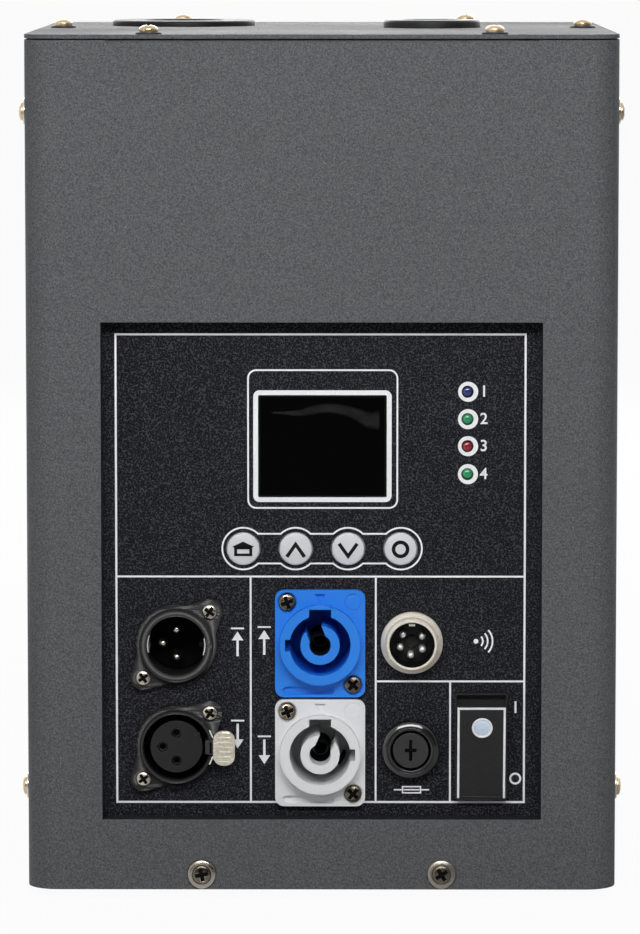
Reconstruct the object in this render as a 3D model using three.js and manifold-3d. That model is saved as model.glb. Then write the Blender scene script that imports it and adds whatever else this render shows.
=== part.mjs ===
// Cold spark machine: an upright sheet-metal box that feeds metal granules from a hopper into a heated
// chamber and blows them out of a nozzle in its lid as a fountain of sparks.
// Millimetres, +Z up, the front faces -Y, the origin lies under the middle of the part at foot level.
import * as THREE from 'three';
import { mergeVertices } from 'three/addons/utils/BufferGeometryUtils.js';
import Module from 'manifold-3d';

const wasm = await Module();
wasm.setup();

// Fits and mesh counts
const SEAT_GAP = 0.3;
const OVERRUN = 1;
const ROUND_SIDES = 24;
const SMALL_SIDES = 10;
const END_STEPS = 1;
const CORNER_STEPS = 2;
const WIDE_STEPS = 3;
const SCROLL_STEPS = 8;

// Cabinet
const BODY_WIDTH = 170;
const BODY_DEPTH = 180;
const BODY_HEIGHT = 246;
const SHEET = 1.2;
const EDGE_RADIUS = 9;
const REAR_CORNER_RADIUS = 2;
const LID_GAP = 0.4;
const FOOT_HEIGHT = 3;
const FOOT_RADIUS = 8;
const FOOT_TAPER = 1;
const FOOT_INSET = 24;
const TAB_WIDTH = 123.4;
const TAB_REACH = 12;
const TAB_BEND_RADIUS = 2;
const SIDE_TAB_WIDTH = 18;
const BASE_FLANGE = 9;
const REAR_FLANGE = 12;

// Vents in the sides and the rear
const SIDE_VENT_COUNT = 7;
const SIDE_VENT_WIDTH = 3;
const SIDE_VENT_HEIGHT = 44;
const SIDE_VENT_PITCH = 8;
const SIDE_VENT_BACK = 118;
const SIDE_VENT_LIFT = 62;
const REAR_VENT_COUNT = 7;
const REAR_VENT_WIDTH = 42;
const REAR_VENT_HEIGHT = 3;
const REAR_VENT_PITCH = 8;
const REAR_VENT_SIDE = 47;
const REAR_VENT_LIFT = 66;

// Recess for the controls, its height measured from the body's lower edge. The columns of sockets and
// lamps stand at shares of its width from its middle.
const OPENING_WIDTH = 126.4;
const OPENING_HEIGHT = 143.8;
const OPENING_LIFT = 20.3;
const PANEL_DEPTH = 7.5;
const DATA_COLUMN_SHARE = -0.33149;
const POWER_COLUMN_SHARE = -0.00356;
const REMOTE_COLUMN_SHARE = 0.2057;
const FUSE_COLUMN_SHARE = 0.20332;
const SWITCH_COLUMN_SHARE = 0.36432;
const LAMP_COLUMN_SHARE = 0.33149;
const PANEL_BEND = 1.6;
const PANEL_FLANGE = 8;

// Fasteners
const SHANK_RADIUS = 1.4;
const SHANK_LENGTH = 7;
const LID_HEAD_RADIUS = 2.7;
const LID_HEAD_HEIGHT = 2.1;
const SIDE_HEAD_HEIGHT = 1.3;
const WASHER_RADIUS = 3.8;
const WASHER_THICKNESS = 0.6;
const CUP_RADIUS = 4.2;
const CUP_HEIGHT = 1.1;
const CUP_HEAD_HEIGHT = 0.8;
const LID_FRONT_SPACING = 98.6;
const LID_FRONT_INSET = 5;
const LID_SIDE_INSET = 6.8;
const LID_SIDE_BACK = 92;
const LID_REAR_SPACING = 89.4;
const LID_REAR_INSET = 6;
const SIDE_SCREW_BACK = 14;
const SIDE_SCREW_DROP = 22.2;
const SIDE_SCREW_LIFT = 28.1;
const BASE_SCREW_SPACING = 69.2;
const BASE_SCREW_LIFT = 4.55;

// Display and its board; heights on the panel are measured from the opening's lower edge
const WINDOW_WIDTH = 36.8;
const WINDOW_HEIGHT = 29.3;
const WINDOW_X = 0.2;
const WINDOW_LIFT = 107.5;
const GLASS_SINK = 0.6;
const MODULE_BORDER = 2.4;
const MODULE_DEPTH = 3.4;
const HEADER_HEIGHT = 2.5;
const HEADER_WIDTH = 24;
const BOARD_SINK = 7.3;
const BOARD_THICKNESS = 1.6;
const BOARD_LEFT = -37;
const BOARD_RIGHT = 50;
const BOARD_LOW = 71.5;
const BOARD_HIGH = 132;
const BOARD_POST_RADIUS = 2.5;
const BOARD_POST_INSET = 4;
const BOARD_SOCKET_WIDTH = 22;
const BOARD_SOCKET_HEIGHT = 6;
const BOARD_SOCKET_DEPTH = 7;

// Push buttons
const BUTTON_RADIUS = 4.75;
const BUTTON_PITCH = 15.1;
const BUTTON_X = 0.05;
const BUTTON_LIFT = 77.9;
const BUTTON_PROUD = 1.6;
const BUTTON_CROWN = 0.5;
const BUTTON_COLLAR = 1;
const BUTTON_COLLAR_DEPTH = 1.2;
const BUTTON_STEM_RADIUS = 1.6;
const BUTTON_TRAVEL = 1;
const TACT_WIDTH = 6;
const TACT_DEPTH = 2.2;

// Indicator lamps
const LAMP_RADIUS = 1.5;
const LAMP_LIFT = 123.3;
const LAMP_PITCH = 7.9;
const LAMP_PROUD = 0.3;
const LAMP_DOME = 1.2;
const LAMP_COLLAR = 0.5;
const LAMP_COLLAR_DEPTH = 1;
const LAMP_LEG_RADIUS = 0.8;

// Three-pole data sockets, turned so that their keys point right
const DATA_IN_LIFT = 50.2;
const DATA_OUT_LIFT = 20.7;
const DATA_FLANGE_RADIUS = 11.4;
const DATA_FLANGE_DEPTH = 2;
const DATA_EAR_OFFSET = 9.6;
const DATA_EAR_RADIUS = 3.6;
const DATA_COLLAR_RADIUS = 10.6;
const DATA_COLLAR_PROUD = 2.5;
const DATA_BORE_RADIUS = 9.1;
const DATA_OUT_BORE_RADIUS = 9.8;
const DATA_LENGTH = 26;
const DATA_INSERT_DEPTH = 5;
const DATA_IN_SINK = 17;
const DATA_PIN_RADIUS = 1.2;
const DATA_PIN_CIRCLE = 4;
const DATA_PIN_LENGTH = 12;
const DATA_TAIL_LENGTH = 4;
const DATA_PLUG_RADIUS = 7.5;
const DATA_PLUG_SINK = 1.2;
const DATA_CONTACT_RADIUS = 1.5;
const DATA_CONTACT_DEPTH = 12;
const LATCH_WIDTH = 5.9;
const LATCH_HEIGHT = 10.2;
const LATCH_DEPTH = 1.6;
const LATCH_TRAVEL = 1.7;
const LATCH_STEM_WIDTH = 2;
const LATCH_STEM_HEIGHT = 4;
const LATCH_STEM_LENGTH = 14;
const LATCH_OVERLAP = 0.6;

// Twist-lock power sockets
const POWER_IN_LIFT = 50.5;
const POWER_OUT_LIFT = 18.65;
const POWER_FLANGE_WIDTH = 26;
const POWER_FLANGE_HEIGHT = 31.2;
const POWER_FLANGE_DEPTH = 2;
const POWER_FLANGE_CORNER = 3.2;
const POWER_COLLAR_RADIUS = 11.55;
const POWER_COLLAR_PROUD = 4;
const POWER_BORE_RADIUS = 8.8;
const POWER_BORE_DEPTH = 23.1;
const POWER_LENGTH = 24;
const POWER_CORE_RADIUS = 5.65;
const POWER_CORE_HOLE = 3.15;
const POWER_CORE_SINK = 0.5;
const POWER_KEY_WIDTH = 6.3;
const POWER_KEY_REACH = 10.5;
const POWER_SIDE_KEY_WIDTH = 3.4;
const POWER_SIDE_KEY_REACH = 10.2;
const POWER_CORE_GAP_WIDTH = 4.8;
const POWER_IN_GAP_ANGLE = THREE.MathUtils.degToRad(111);
const POWER_OUT_GAP_ANGLE = THREE.MathUtils.degToRad(66);

// Round socket for the wired remote
const REMOTE_LIFT = 50.6;
const REMOTE_FLANGE_RADIUS = 8.95;
const REMOTE_FLANGE_DEPTH = 1.6;
const REMOTE_BARREL_RADIUS = 7.7;
const REMOTE_BARREL_PROUD = 4.4;
const REMOTE_BORE_RADIUS = 6.5;
const REMOTE_LENGTH = 15;
const REMOTE_INSERT_DEPTH = 5;
const REMOTE_INSERT_SINK = 9;
const REMOTE_PIN_COUNT = 5;
const REMOTE_PIN_CIRCLE = 3.6;
const REMOTE_PIN_PITCH = THREE.MathUtils.degToRad(64);
const REMOTE_PIN_RADIUS = 0.95;
const REMOTE_PIN_LENGTH = 4.8;
const REMOTE_TAIL_LENGTH = 3;

// Fuse
const FUSE_LIFT = 19.5;
const FUSE_BEZEL_RADIUS = 8.25;
const FUSE_BEZEL_TOP_RADIUS = 6.6;
const FUSE_BEZEL_PROUD = 4;
const FUSE_TUBE_RADIUS = 6.2;
const FUSE_TUBE_LENGTH = 36;
const FUSE_BORE_RADIUS = 5.55;
const FUSE_CAP_SINK = 0.4;
const FUSE_CAP_LENGTH = 9;
const FUSE_SLOT_LENGTH = 6;
const FUSE_SLOT_SHORT = 3.5;
const FUSE_SLOT_WIDTH = 0.9;
const FUSE_SLOT_DEPTH = 1.2;
const FUSE_GLASS_RADIUS = 2.5;
const FUSE_GLASS_LENGTH = 20;
const FUSE_GRIP_DEPTH = 4;
const FUSE_TAIL_WIDTH = 5;
const FUSE_TAIL_THICKNESS = 0.8;
const FUSE_TAIL_LENGTH = 6;

// Rocker switch
const SWITCH_LIFT = 20.6;
const SWITCH_FRAME_WIDTH = 15.3;
const SWITCH_FRAME_HEIGHT = 31.2;
const SWITCH_FRAME_PROUD = 2.8;
const SWITCH_RIM = 0.5;
const SWITCH_BODY_WIDTH = 13;
const SWITCH_BODY_HEIGHT = 28;
const SWITCH_BODY_LENGTH = 18;
const SWITCH_WELL_WIDTH = 9;
const SWITCH_WELL_HEIGHT = 16;
const SWITCH_WELL_DEPTH = 7;
const SWITCH_BLADE_COUNT = 3;
const SWITCH_BLADE_PITCH = 7.5;
const SWITCH_BLADE_LENGTH = 8;
const SWITCH_BLADE_WIDTH = 6.3;
const SWITCH_BLADE_THICKNESS = 0.8;
const ROCKER_HEIGHT = 26.6;
const ROCKER_THICKNESS = 1.9;
const ROCKER_ARM = 6.5;
const ROCKER_PIVOT_SINK = 1.4;
const ROCKER_TILT = THREE.MathUtils.degToRad(10);
const ROCKER_STEM_WIDTH = 8;
const ROCKER_STEM_HEIGHT = 6;
const ROCKER_STEM_TAIL = 2.4;

// Spark engine: the nozzle's place on the lid is measured from the left side and the rear, the
// hopper's from the right side and the rear, and the feed screw's level from the top of the lid
const NOZZLE_SIDE = 42;
const NOZZLE_REAR = 52.8;
const NOZZLE_FLANGE_RADIUS = 21.9;
const NOZZLE_FLANGE_DEPTH = 1.7;
const NOZZLE_MOUTH_RADIUS = 15;
const NOZZLE_RADIUS = 13;
const NOZZLE_BORE = 11;
const NOZZLE_LENGTH = 44;
const CHAMBER_RADIUS = 18;
const CHAMBER_SOCKET_DEPTH = 8;
const CHAMBER_FOOT_RADIUS = 24;
const CHAMBER_FOOT_DEPTH = 2;
const JACKET_RADIUS = 28;
const JACKET_LOW = 8;
const JACKET_HEIGHT = 74;
const SHELF_LEFT_INSET = 5;
const SHELF_RIGHT_REACH = 40;
const SHELF_DEPTH = 66;
const SHELF_FOOT = 9;
const FEED_DROP = 99;
const FEED_RISE = 32;

// Hopper, its cap, and the feed screw under it
const HOPPER_SIDE = 52.1;
const HOPPER_REAR = 80.4;
const HOPPER_NECK_RADIUS = 13;
const HOPPER_WALL = 1.2;
const HOPPER_NECK_DEPTH = 12;
const HOPPER_FLANGE_RADIUS = 18;
const HOPPER_BOWL_RADIUS = 29;
const HOPPER_SHOULDER_DEPTH = 22;
const HOPPER_BOWL_DEPTH = 44;
const HOPPER_CONE_DEPTH = 78;
const HOPPER_SPOUT_RADIUS = 7;
const CAP_RADIUS = 14.65;
const CAP_HEIGHT = 2.3;
const CAP_EDGE = 0.8;
const CAP_PLUG_LENGTH = 5;
const BARREL_RADIUS = 8;
const BARREL_BORE = 6.3;
const BARREL_TAIL = 13;
const BARREL_FLANGE_RADIUS = 12;
const BARREL_FLANGE_DEPTH = 3;
const BARREL_SOCKET_HEIGHT = 16;
const BARREL_SOCKET_WALL = 1.8;
const BARREL_SEAT_DEPTH = 4;
const AUGER_RADIUS = 5.8;
const AUGER_SHAFT_RADIUS = 2;
const AUGER_PITCH = 12;
const AUGER_FIN_ANGLE = THREE.MathUtils.degToRad(62);
const AUGER_STEPS_PER_TURN = 8;
const AUGER_END_GAP = 3;
const AUGER_TANG = 4;
const GEARBOX_RADIUS = 10;
const GEARBOX_LENGTH = 13;
const MOTOR_RADIUS = 9;
const MOTOR_LENGTH = 15;
const MOTOR_STUB_RADIUS = 2.5;
const MOTOR_STUB_LENGTH = 2;

// Blower under the heating chamber
const BLOWER_RADIUS = 25;
const BLOWER_DEPTH = 24;
const BLOWER_WALL = 2;
const BLOWER_DROP = 42;
const BLOWER_DUCT_WIDTH = 24;
const BLOWER_INLET_RADIUS = 14;
const BLOWER_BOSS_RADIUS = 8;
const BLOWER_BOSS_DEPTH = 4;
const BLOWER_PIN_RADIUS = 1.5;
const BLOWER_PIN_LENGTH = 6;
const IMPELLER_RADIUS = 19.5;
const IMPELLER_DISC = 1.5;
const IMPELLER_HUB_RADIUS = 6;
const IMPELLER_HUB_LENGTH = 8;
const IMPELLER_BLADES = 16;
const IMPELLER_BLADE_DEPTH = 5;
const IMPELLER_BLADE_LENGTH = 11;
const IMPELLER_BLADE_THICKNESS = 1;

// Cooling fan on the rear panel
const FAN_SIZE = 60;
const FAN_DEPTH = 15;
const FAN_CORNER = 4;
const FAN_SIDE = 47;
const FAN_LIFT = 95;
const FAN_BORE_RADIUS = 28.5;
const FAN_HUB_RADIUS = 12.5;
const FAN_SPIDER_DEPTH = 2;
const FAN_STRUT_COUNT = 3;
const FAN_STRUT_WIDTH = 3;
const FAN_PIN_RADIUS = 2;
const FAN_PIN_LENGTH = 5;
const FAN_BLADES = 7;
const FAN_BLADE_CHORD = 13;
const FAN_BLADE_THICKNESS = 1.2;
const FAN_BLADE_PITCH = THREE.MathUtils.degToRad(38);
const FAN_TIP_GAP = 0.8;
const FAN_HUB_SINK = 2;
const FAN_SCREW_INSET = 5;
const FAN_SCREW_RADIUS = 2.6;
const FAN_SCREW_SINK = 0.5;
const GUARD_RING_COUNT = 4;
const GUARD_RING_PITCH = 6.4;
const GUARD_SLOT_WIDTH = 4.2;
const GUARD_INNER_RADIUS = 8;
const GUARD_BRIDGE = 3.4;
const GUARD_SPOKES = 4;

// Electronics
const SUPPLY_BRACKET_GAP = 9;
const SUPPLY_SIDE_GAP = 7.8;
const SUPPLY_FRONT = 60;
const SUPPLY_REAR_GAP = 32;
const SUPPLY_POST = 5;
const SUPPLY_POST_RADIUS = 3;
const SUPPLY_POST_INSET = 5;
const TRANSFORMER_SIZE = 30;
const TRANSFORMER_HEIGHT = 26;
const CAPACITOR_RADIUS = 9;
const CAPACITOR_HEIGHT = 30;
const CAPACITOR_PITCH = 21;
const HEATSINK_THICKNESS = 4;
const HEATSINK_HEIGHT = 28;
const TERMINAL_HEIGHT = 10;
const TERMINAL_DEPTH = 9;
const MAIN_FRONT = 56;
const MAIN_BACK = 130;
const MAIN_LOW = 52;
const MAIN_HIGH = 132;
const MAIN_POST = 4.5;
const RELAY_WIDTH = 15;
const RELAY_HEIGHT = 19;
const RELAY_DEPTH = 14;
const RELAY_COUNT = 3;
const CHIP_SIZE = 12;
const CHIP_DEPTH = 2;

// Levels and planes that follow from the sizes above
const BASE_HEAD_PROUD = CUP_HEIGHT + CUP_HEAD_HEIGHT;
const FRONT = (BASE_HEAD_PROUD - BODY_DEPTH) / 2;
const REAR = FRONT + BODY_DEPTH;
const FLOOR = FOOT_HEIGHT;
const TOP = FLOOR + BODY_HEIGHT;
const LID_UNDERSIDE = TOP - SHEET;
const WALL_TOP = LID_UNDERSIDE - LID_GAP;
const TAB_TOP = LID_UNDERSIDE - SEAT_GAP;
const INNER_HALF_WIDTH = BODY_WIDTH / 2 - SHEET;
const OPENING_LOW = FLOOR + OPENING_LIFT;
const PANEL_FRONT = FRONT + PANEL_DEPTH;
const PANEL_BACK = PANEL_FRONT + SHEET;
const BASE_TOP = FLOOR + SHEET;
const SCREW_HOLE = SHANK_RADIUS + SEAT_GAP;
const DATA_X = DATA_COLUMN_SHARE * OPENING_WIDTH;
const POWER_X = POWER_COLUMN_SHARE * OPENING_WIDTH;
const REMOTE_X = REMOTE_COLUMN_SHARE * OPENING_WIDTH;
const FUSE_X = FUSE_COLUMN_SHARE * OPENING_WIDTH;
const SWITCH_X = SWITCH_COLUMN_SHARE * OPENING_WIDTH;
const LAMP_X = LAMP_COLUMN_SHARE * OPENING_WIDTH;
const REAR_VENT_X = REAR_VENT_SIDE - BODY_WIDTH / 2;
const FAN_X = BODY_WIDTH / 2 - FAN_SIDE;
const fanScrews = bothSides(FAN_SIZE / 2 - FAN_SCREW_INSET).flatMap((x) =>
  bothSides(FAN_SIZE / 2 - FAN_SCREW_INSET).map((z) => [FAN_X + x, FLOOR + FAN_LIFT + z]),
);
const NOZZLE_X = NOZZLE_SIDE - BODY_WIDTH / 2;
const NOZZLE_Y = REAR - NOZZLE_REAR;
const HOPPER_X = BODY_WIDTH / 2 - HOPPER_SIDE;
const HOPPER_Y = REAR - HOPPER_REAR;
const FEED_Z = TOP - FEED_DROP;
const SHELF_TOP = FEED_Z - FEED_RISE;
const SHELF_RIGHT = NOZZLE_X + SHELF_RIGHT_REACH;
const SUPPLY_LEFT = SHELF_RIGHT + SUPPLY_BRACKET_GAP;
const SUPPLY_RIGHT = INNER_HALF_WIDTH - SUPPLY_SIDE_GAP;
const FEED_LENGTH = Math.hypot(NOZZLE_X - HOPPER_X, NOZZLE_Y - HOPPER_Y);
const FEED_ANGLE = Math.atan2(NOZZLE_Y - HOPPER_Y, NOZZLE_X - HOPPER_X);
const BOARD_FRONT = PANEL_BACK + BOARD_SINK;

// Finishes: colour, roughness, metalness
const FINISHES = {
  housing: [0x5f6062, 0.62, 0.2],
  panel: [0x18181b, 0.6, 0.1],
  brass: [0xb98a4e, 0.35, 0.9],
  nickel: [0xb9b6ae, 0.3, 0.95],
  galvanised: [0xa7aaad, 0.45, 0.85],
  steel: [0x8e8f92, 0.4, 0.9],
  blackPlastic: [0x121214, 0.45, 0],
  whitePlastic: [0xe9eaeb, 0.45, 0],
  bluePlastic: [0x1e78dc, 0.42, 0],
  keycap: [0xd8dadc, 0.4, 0],
  glass: [0x050507, 0.08, 0],
  blueLamp: [0x1a2350, 0.2, 0],
  greenLamp: [0x1f7a45, 0.2, 0],
  redLamp: [0x7c1d22, 0.2, 0],
  rubber: [0x151515, 0.85, 0],
  insulation: [0xd9d2c2, 0.95, 0],
  board: [0x1d5a36, 0.5, 0.05],
  fuseGlass: [0xcfd8d8, 0.1, 0],
};

const machine = new THREE.Group();

// Solid from a closed geometry, turned right side out where its outline ran the other way round.
function solid(geometry) {
  const flat = geometry.index ? geometry.toNonIndexed() : geometry;
  const bare = new THREE.BufferGeometry();
  bare.setAttribute('position', flat.getAttribute('position'));
  const merged = mergeVertices(bare);
  const vertProperties = merged.attributes.position.array;
  const triVerts = new Uint32Array(merged.index.array);
  const made = new wasm.Manifold(new wasm.Mesh({ numProp: 3, vertProperties, triVerts }));
  if (made.volume() >= 0) return made;
  const reversed = triVerts.slice().reverse();
  return new wasm.Manifold(new wasm.Mesh({ numProp: 3, vertProperties, triVerts: reversed }));
}

function geometryOf(made) {
  const { vertProperties, triVerts } = made.getMesh();
  const geometry = new THREE.BufferGeometry();
  geometry.setAttribute('position', new THREE.BufferAttribute(vertProperties, 3));
  geometry.setIndex(new THREE.BufferAttribute(triVerts, 1));
  geometry.computeVertexNormals();
  return geometry;
}

function addPart(name, made, finish, group = machine) {
  const [color, roughness, metalness] = FINISHES[finish];
  const material = new THREE.MeshStandardMaterial({ color, roughness, metalness });
  const mesh = new THREE.Mesh(geometryOf(made), material);
  mesh.name = name;
  group.add(mesh);
  return mesh;
}

// Joined and cut solids
function join(...pieces) {
  return pieces.reduce((whole, piece) => whole.add(piece));
}

function cut(whole, ...tools) {
  return tools.reduce((rest, tool) => rest.subtract(tool), whole);
}

// Box between two values on each axis
function block([x0, x1], [y0, y1], [z0, z1]) {
  const box = new THREE.BoxGeometry(x1 - x0, y1 - y0, z1 - z0);
  return solid(box.translate((x0 + x1) / 2, (y0 + y1) / 2, (z0 + z1) / 2));
}

// Turns a geometry that stands along its own axis so that this axis becomes X, Y or Z of the part.
// The first one is for geometries built along Y, the second for outlines extruded along Z.
function alignTurned(geometry, axis, centre) {
  if (axis === 'z') geometry.rotateX(Math.PI / 2);
  if (axis === 'x') geometry.rotateZ(-Math.PI / 2);
  return geometry.translate(...centre);
}

function alignExtruded(geometry, axis) {
  const order = new THREE.Matrix4();
  if (axis === 'x') order.set(0, 0, 1, 0, 1, 0, 0, 0, 0, 1, 0, 0, 0, 0, 0, 1);
  if (axis === 'y') order.set(1, 0, 0, 0, 0, 0, 1, 0, 0, 1, 0, 0, 0, 0, 0, 1);
  return geometry.applyMatrix4(order);
}

// Round bar from one value to another along an axis; centre gives the other two coordinates.
function rod(axis, radius, [from, to], [a, b], sides = ROUND_SIDES) {
  return turned(axis, [[0, from], [radius, from], [radius, to], [0, to]], [a, b], sides);
}

// Body of revolution: its profile is a list of radius and place along the axis.
function turned(axis, profile, [a, b], sides = ROUND_SIDES) {
  const points = profile.map(([radius, place]) => new THREE.Vector2(radius, place));
  const first = points[0];
  const last = points[points.length - 1];
  if (first.x > 0 || last.x > 0) points.push(first.clone());
  const centre = { x: [0, a, b], y: [a, 0, b], z: [a, b, 0] }[axis];
  return solid(alignTurned(new THREE.LatheGeometry(points, sides), axis, centre));
}

// Outline raised between two values along an axis. An outline for X is drawn in Y and Z, one for Y in
// X and Z, and one for Z in X and Y.
function raised(axis, outline, [from, to], steps = CORNER_STEPS) {
  const options = { depth: to - from, bevelEnabled: false, curveSegments: steps };
  const geometry = new THREE.ExtrudeGeometry(outline, options).translate(0, 0, from);
  return solid(alignExtruded(geometry, axis));
}

function rectangle(width, height, [x, y] = [0, 0]) {
  const outline = new THREE.Shape();
  outline.moveTo(x - width / 2, y - height / 2);
  outline.lineTo(x + width / 2, y - height / 2);
  outline.lineTo(x + width / 2, y + height / 2);
  outline.lineTo(x - width / 2, y + height / 2);
  return outline;
}

function roundedRectangle(width, height, radius, [x, y] = [0, 0]) {
  const outline = new THREE.Shape();
  const right = x + width / 2 - radius;
  const left = x - width / 2 + radius;
  const high = y + height / 2 - radius;
  const low = y - height / 2 + radius;
  outline.absarc(right, high, radius, 0, Math.PI / 2);
  outline.absarc(left, high, radius, Math.PI / 2, Math.PI);
  outline.absarc(left, low, radius, Math.PI, 1.5 * Math.PI);
  outline.absarc(right, low, radius, 1.5 * Math.PI, 2 * Math.PI);
  return outline;
}

// Outline of the cabinet seen from above, drawn inside the outer faces by an offset. The front corners
// are round and the rear ones nearly square.
function cabinetOutline(offset, rearRadius) {
  const half = BODY_WIDTH / 2 - offset;
  const front = FRONT + offset;
  const rear = REAR - offset;
  const radius = EDGE_RADIUS - offset;
  const outline = new THREE.Shape();
  outline.absarc(half - radius, front + radius, radius, 1.5 * Math.PI, 2 * Math.PI);
  outline.absarc(half - rearRadius, rear - rearRadius, rearRadius, 0, Math.PI / 2);
  outline.absarc(rearRadius - half, rear - rearRadius, rearRadius, Math.PI / 2, Math.PI);
  outline.absarc(radius - half, front + radius, radius, Math.PI, 1.5 * Math.PI);
  return outline;
}

// Places that more than one piece needs
function bothSides(x) {
  return [-x, x];
}

const lidScrews = [
  ...bothSides(LID_FRONT_SPACING / 2).map((x) => [x, FRONT + LID_FRONT_INSET]),
  ...bothSides(BODY_WIDTH / 2 - LID_SIDE_INSET).map((x) => [x, FRONT + LID_SIDE_BACK]),
  ...bothSides(LID_REAR_SPACING / 2).map((x) => [x, REAR - LID_REAR_INSET]),
];
const sideScrews = bothSides(1).flatMap((side) => [
  [side, TOP - SIDE_SCREW_DROP],
  [side, FLOOR + SIDE_SCREW_LIFT],
]);
const baseScrews = bothSides(BASE_SCREW_SPACING / 2).map((x) => [x, FLOOR + BASE_SCREW_LIFT]);
const buttonShares = [-1.5, -0.5, 0.5, 1.5];
const buttonNames = ['button_menu', 'button_up', 'button_down', 'button_enter'];
const buttonPlaces = buttonShares.map((share) => [
  BUTTON_X + share * BUTTON_PITCH,
  OPENING_LOW + BUTTON_LIFT,
]);
const lampNames = ['lamp_heating', 'lamp_work', 'lamp_fault', 'lamp_data'];
const lampFinishes = ['blueLamp', 'greenLamp', 'redLamp', 'greenLamp'];
const lampPlaces = lampNames.map((name, i) => [LAMP_X, OPENING_LOW + LAMP_LIFT - i * LAMP_PITCH]);
const dataIn = [DATA_X, OPENING_LOW + DATA_IN_LIFT];
const dataOut = [DATA_X, OPENING_LOW + DATA_OUT_LIFT];
const powerIn = [POWER_X, OPENING_LOW + POWER_IN_LIFT];
const powerOut = [POWER_X, OPENING_LOW + POWER_OUT_LIFT];
const remoteIn = [REMOTE_X, OPENING_LOW + REMOTE_LIFT];
const fuse = [FUSE_X, OPENING_LOW + FUSE_LIFT];
const powerSwitch = [SWITCH_X, OPENING_LOW + SWITCH_LIFT];

// Cabinet
function wrapShell() {
  const through = [FRONT - OVERRUN, FRONT + EDGE_RADIUS];
  const outer = raised('z', cabinetOutline(0, SHEET), [FLOOR, WALL_TOP], WIDE_STEPS);
  const hollow = raised('z', cabinetOutline(SHEET, SEAT_GAP), [FLOOR - OVERRUN, WALL_TOP + OVERRUN], WIDE_STEPS);
  const openRear = block(
    bothSides(INNER_HALF_WIDTH),
    [FRONT + BODY_DEPTH / 2, REAR + OVERRUN],
    [FLOOR - OVERRUN, WALL_TOP + OVERRUN],
  );
  const opening = block(bothSides(OPENING_WIDTH / 2), through, [OPENING_LOW, OPENING_LOW + OPENING_HEIGHT]);
  const tabRoom = block(bothSides(TAB_WIDTH / 2), through, [TAB_TOP - TAB_BEND_RADIUS, TOP]);
  const walls = cut(outer, hollow, openRear, opening, tabRoom);
  const sideTabs = bothSides(1).map((side) => {
    const inner = side * (BODY_WIDTH / 2 - SIDE_TAB_WIDTH);
    const edge = side * (BODY_WIDTH / 2);
    const middle = FRONT + LID_SIDE_BACK;
    return block(
      [Math.min(inner, edge), Math.max(inner, edge)],
      [middle - SIDE_TAB_WIDTH / 2, middle + SIDE_TAB_WIDTH / 2],
      [TAB_TOP - SHEET, TAB_TOP],
    );
  });
  const tabHoles = lidScrews.map((place) => rod('z', SCREW_HOLE, [WALL_TOP - EDGE_RADIUS, TOP], place, SMALL_SIDES));
  const sideHoles = sideScrews.map(([side, z]) => {
    const reach = [side * INNER_HALF_WIDTH - OVERRUN, side * INNER_HALF_WIDTH + OVERRUN + SHEET];
    const span = side > 0 ? reach : reach.map((x) => x - SHEET);
    return rod('x', SCREW_HOLE, span, [FRONT + SIDE_SCREW_BACK, z], SMALL_SIDES);
  });
  const baseHoles = baseScrews.map((place) => rod('y', SCREW_HOLE, through, place, SMALL_SIDES));
  return cut(join(walls, frontTab(), ...sideTabs), ...tabHoles, ...sideHoles, ...baseHoles, ...sideVents());
}

// Tab bent inwards along the top of the front wall, drawn in Y and Z
function frontTab() {
  const outer = TAB_BEND_RADIUS;
  const inner = TAB_BEND_RADIUS - SHEET;
  const low = TAB_TOP - TAB_BEND_RADIUS;
  const middle = FRONT + TAB_BEND_RADIUS;
  const profile = new THREE.Shape();
  profile.moveTo(FRONT, low);
  profile.absarc(middle, low, outer, Math.PI, Math.PI / 2, true);
  profile.lineTo(FRONT + TAB_REACH, TAB_TOP);
  profile.lineTo(FRONT + TAB_REACH, TAB_TOP - SHEET);
  profile.absarc(middle, low, inner, Math.PI / 2, Math.PI, false);
  return raised('x', profile, bothSides(TAB_WIDTH / 2), CORNER_STEPS);
}

function sideVents() {
  const vents = [];
  for (let i = 0; i < SIDE_VENT_COUNT; i += 1) {
    const y = FRONT + SIDE_VENT_BACK + (i - (SIDE_VENT_COUNT - 1) / 2) * SIDE_VENT_PITCH;
    const centre = [y, FLOOR + SIDE_VENT_LIFT];
    const outline = roundedRectangle(SIDE_VENT_WIDTH, SIDE_VENT_HEIGHT, SIDE_VENT_WIDTH / 2, centre);
    vents.push(raised('x', outline, bothSides(BODY_WIDTH / 2 + OVERRUN), END_STEPS));
  }
  return vents;
}

function lidPlate() {
  const plate = raised('z', cabinetOutline(0, REAR_CORNER_RADIUS), [LID_UNDERSIDE, TOP], WIDE_STEPS);
  const through = [LID_UNDERSIDE - OVERRUN, TOP + OVERRUN];
  const nozzleHole = rod('z', NOZZLE_RADIUS + SEAT_GAP, through, [NOZZLE_X, NOZZLE_Y]);
  const neckHole = rod('z', HOPPER_NECK_RADIUS + SEAT_GAP, through, [HOPPER_X, HOPPER_Y]);
  const screwHoles = lidScrews.map((place) => rod('z', SCREW_HOLE, through, place, SMALL_SIDES));
  return cut(plate, nozzleHole, neckHole, ...screwHoles);
}

function basePlate() {
  const gap = SHEET + SEAT_GAP;
  const top = FLOOR + BASE_FLANGE;
  const outer = raised('z', cabinetOutline(gap, SHEET), [FLOOR, top], WIDE_STEPS);
  const inner = raised('z', cabinetOutline(gap + SHEET, SEAT_GAP), [BASE_TOP, top + OVERRUN], WIDE_STEPS);
  const through = [FRONT, FRONT + EDGE_RADIUS];
  const screwHoles = baseScrews.map((place) => rod('y', SCREW_HOLE, through, place, SMALL_SIDES));
  return cut(outer, inner, ...screwHoles);
}

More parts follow.
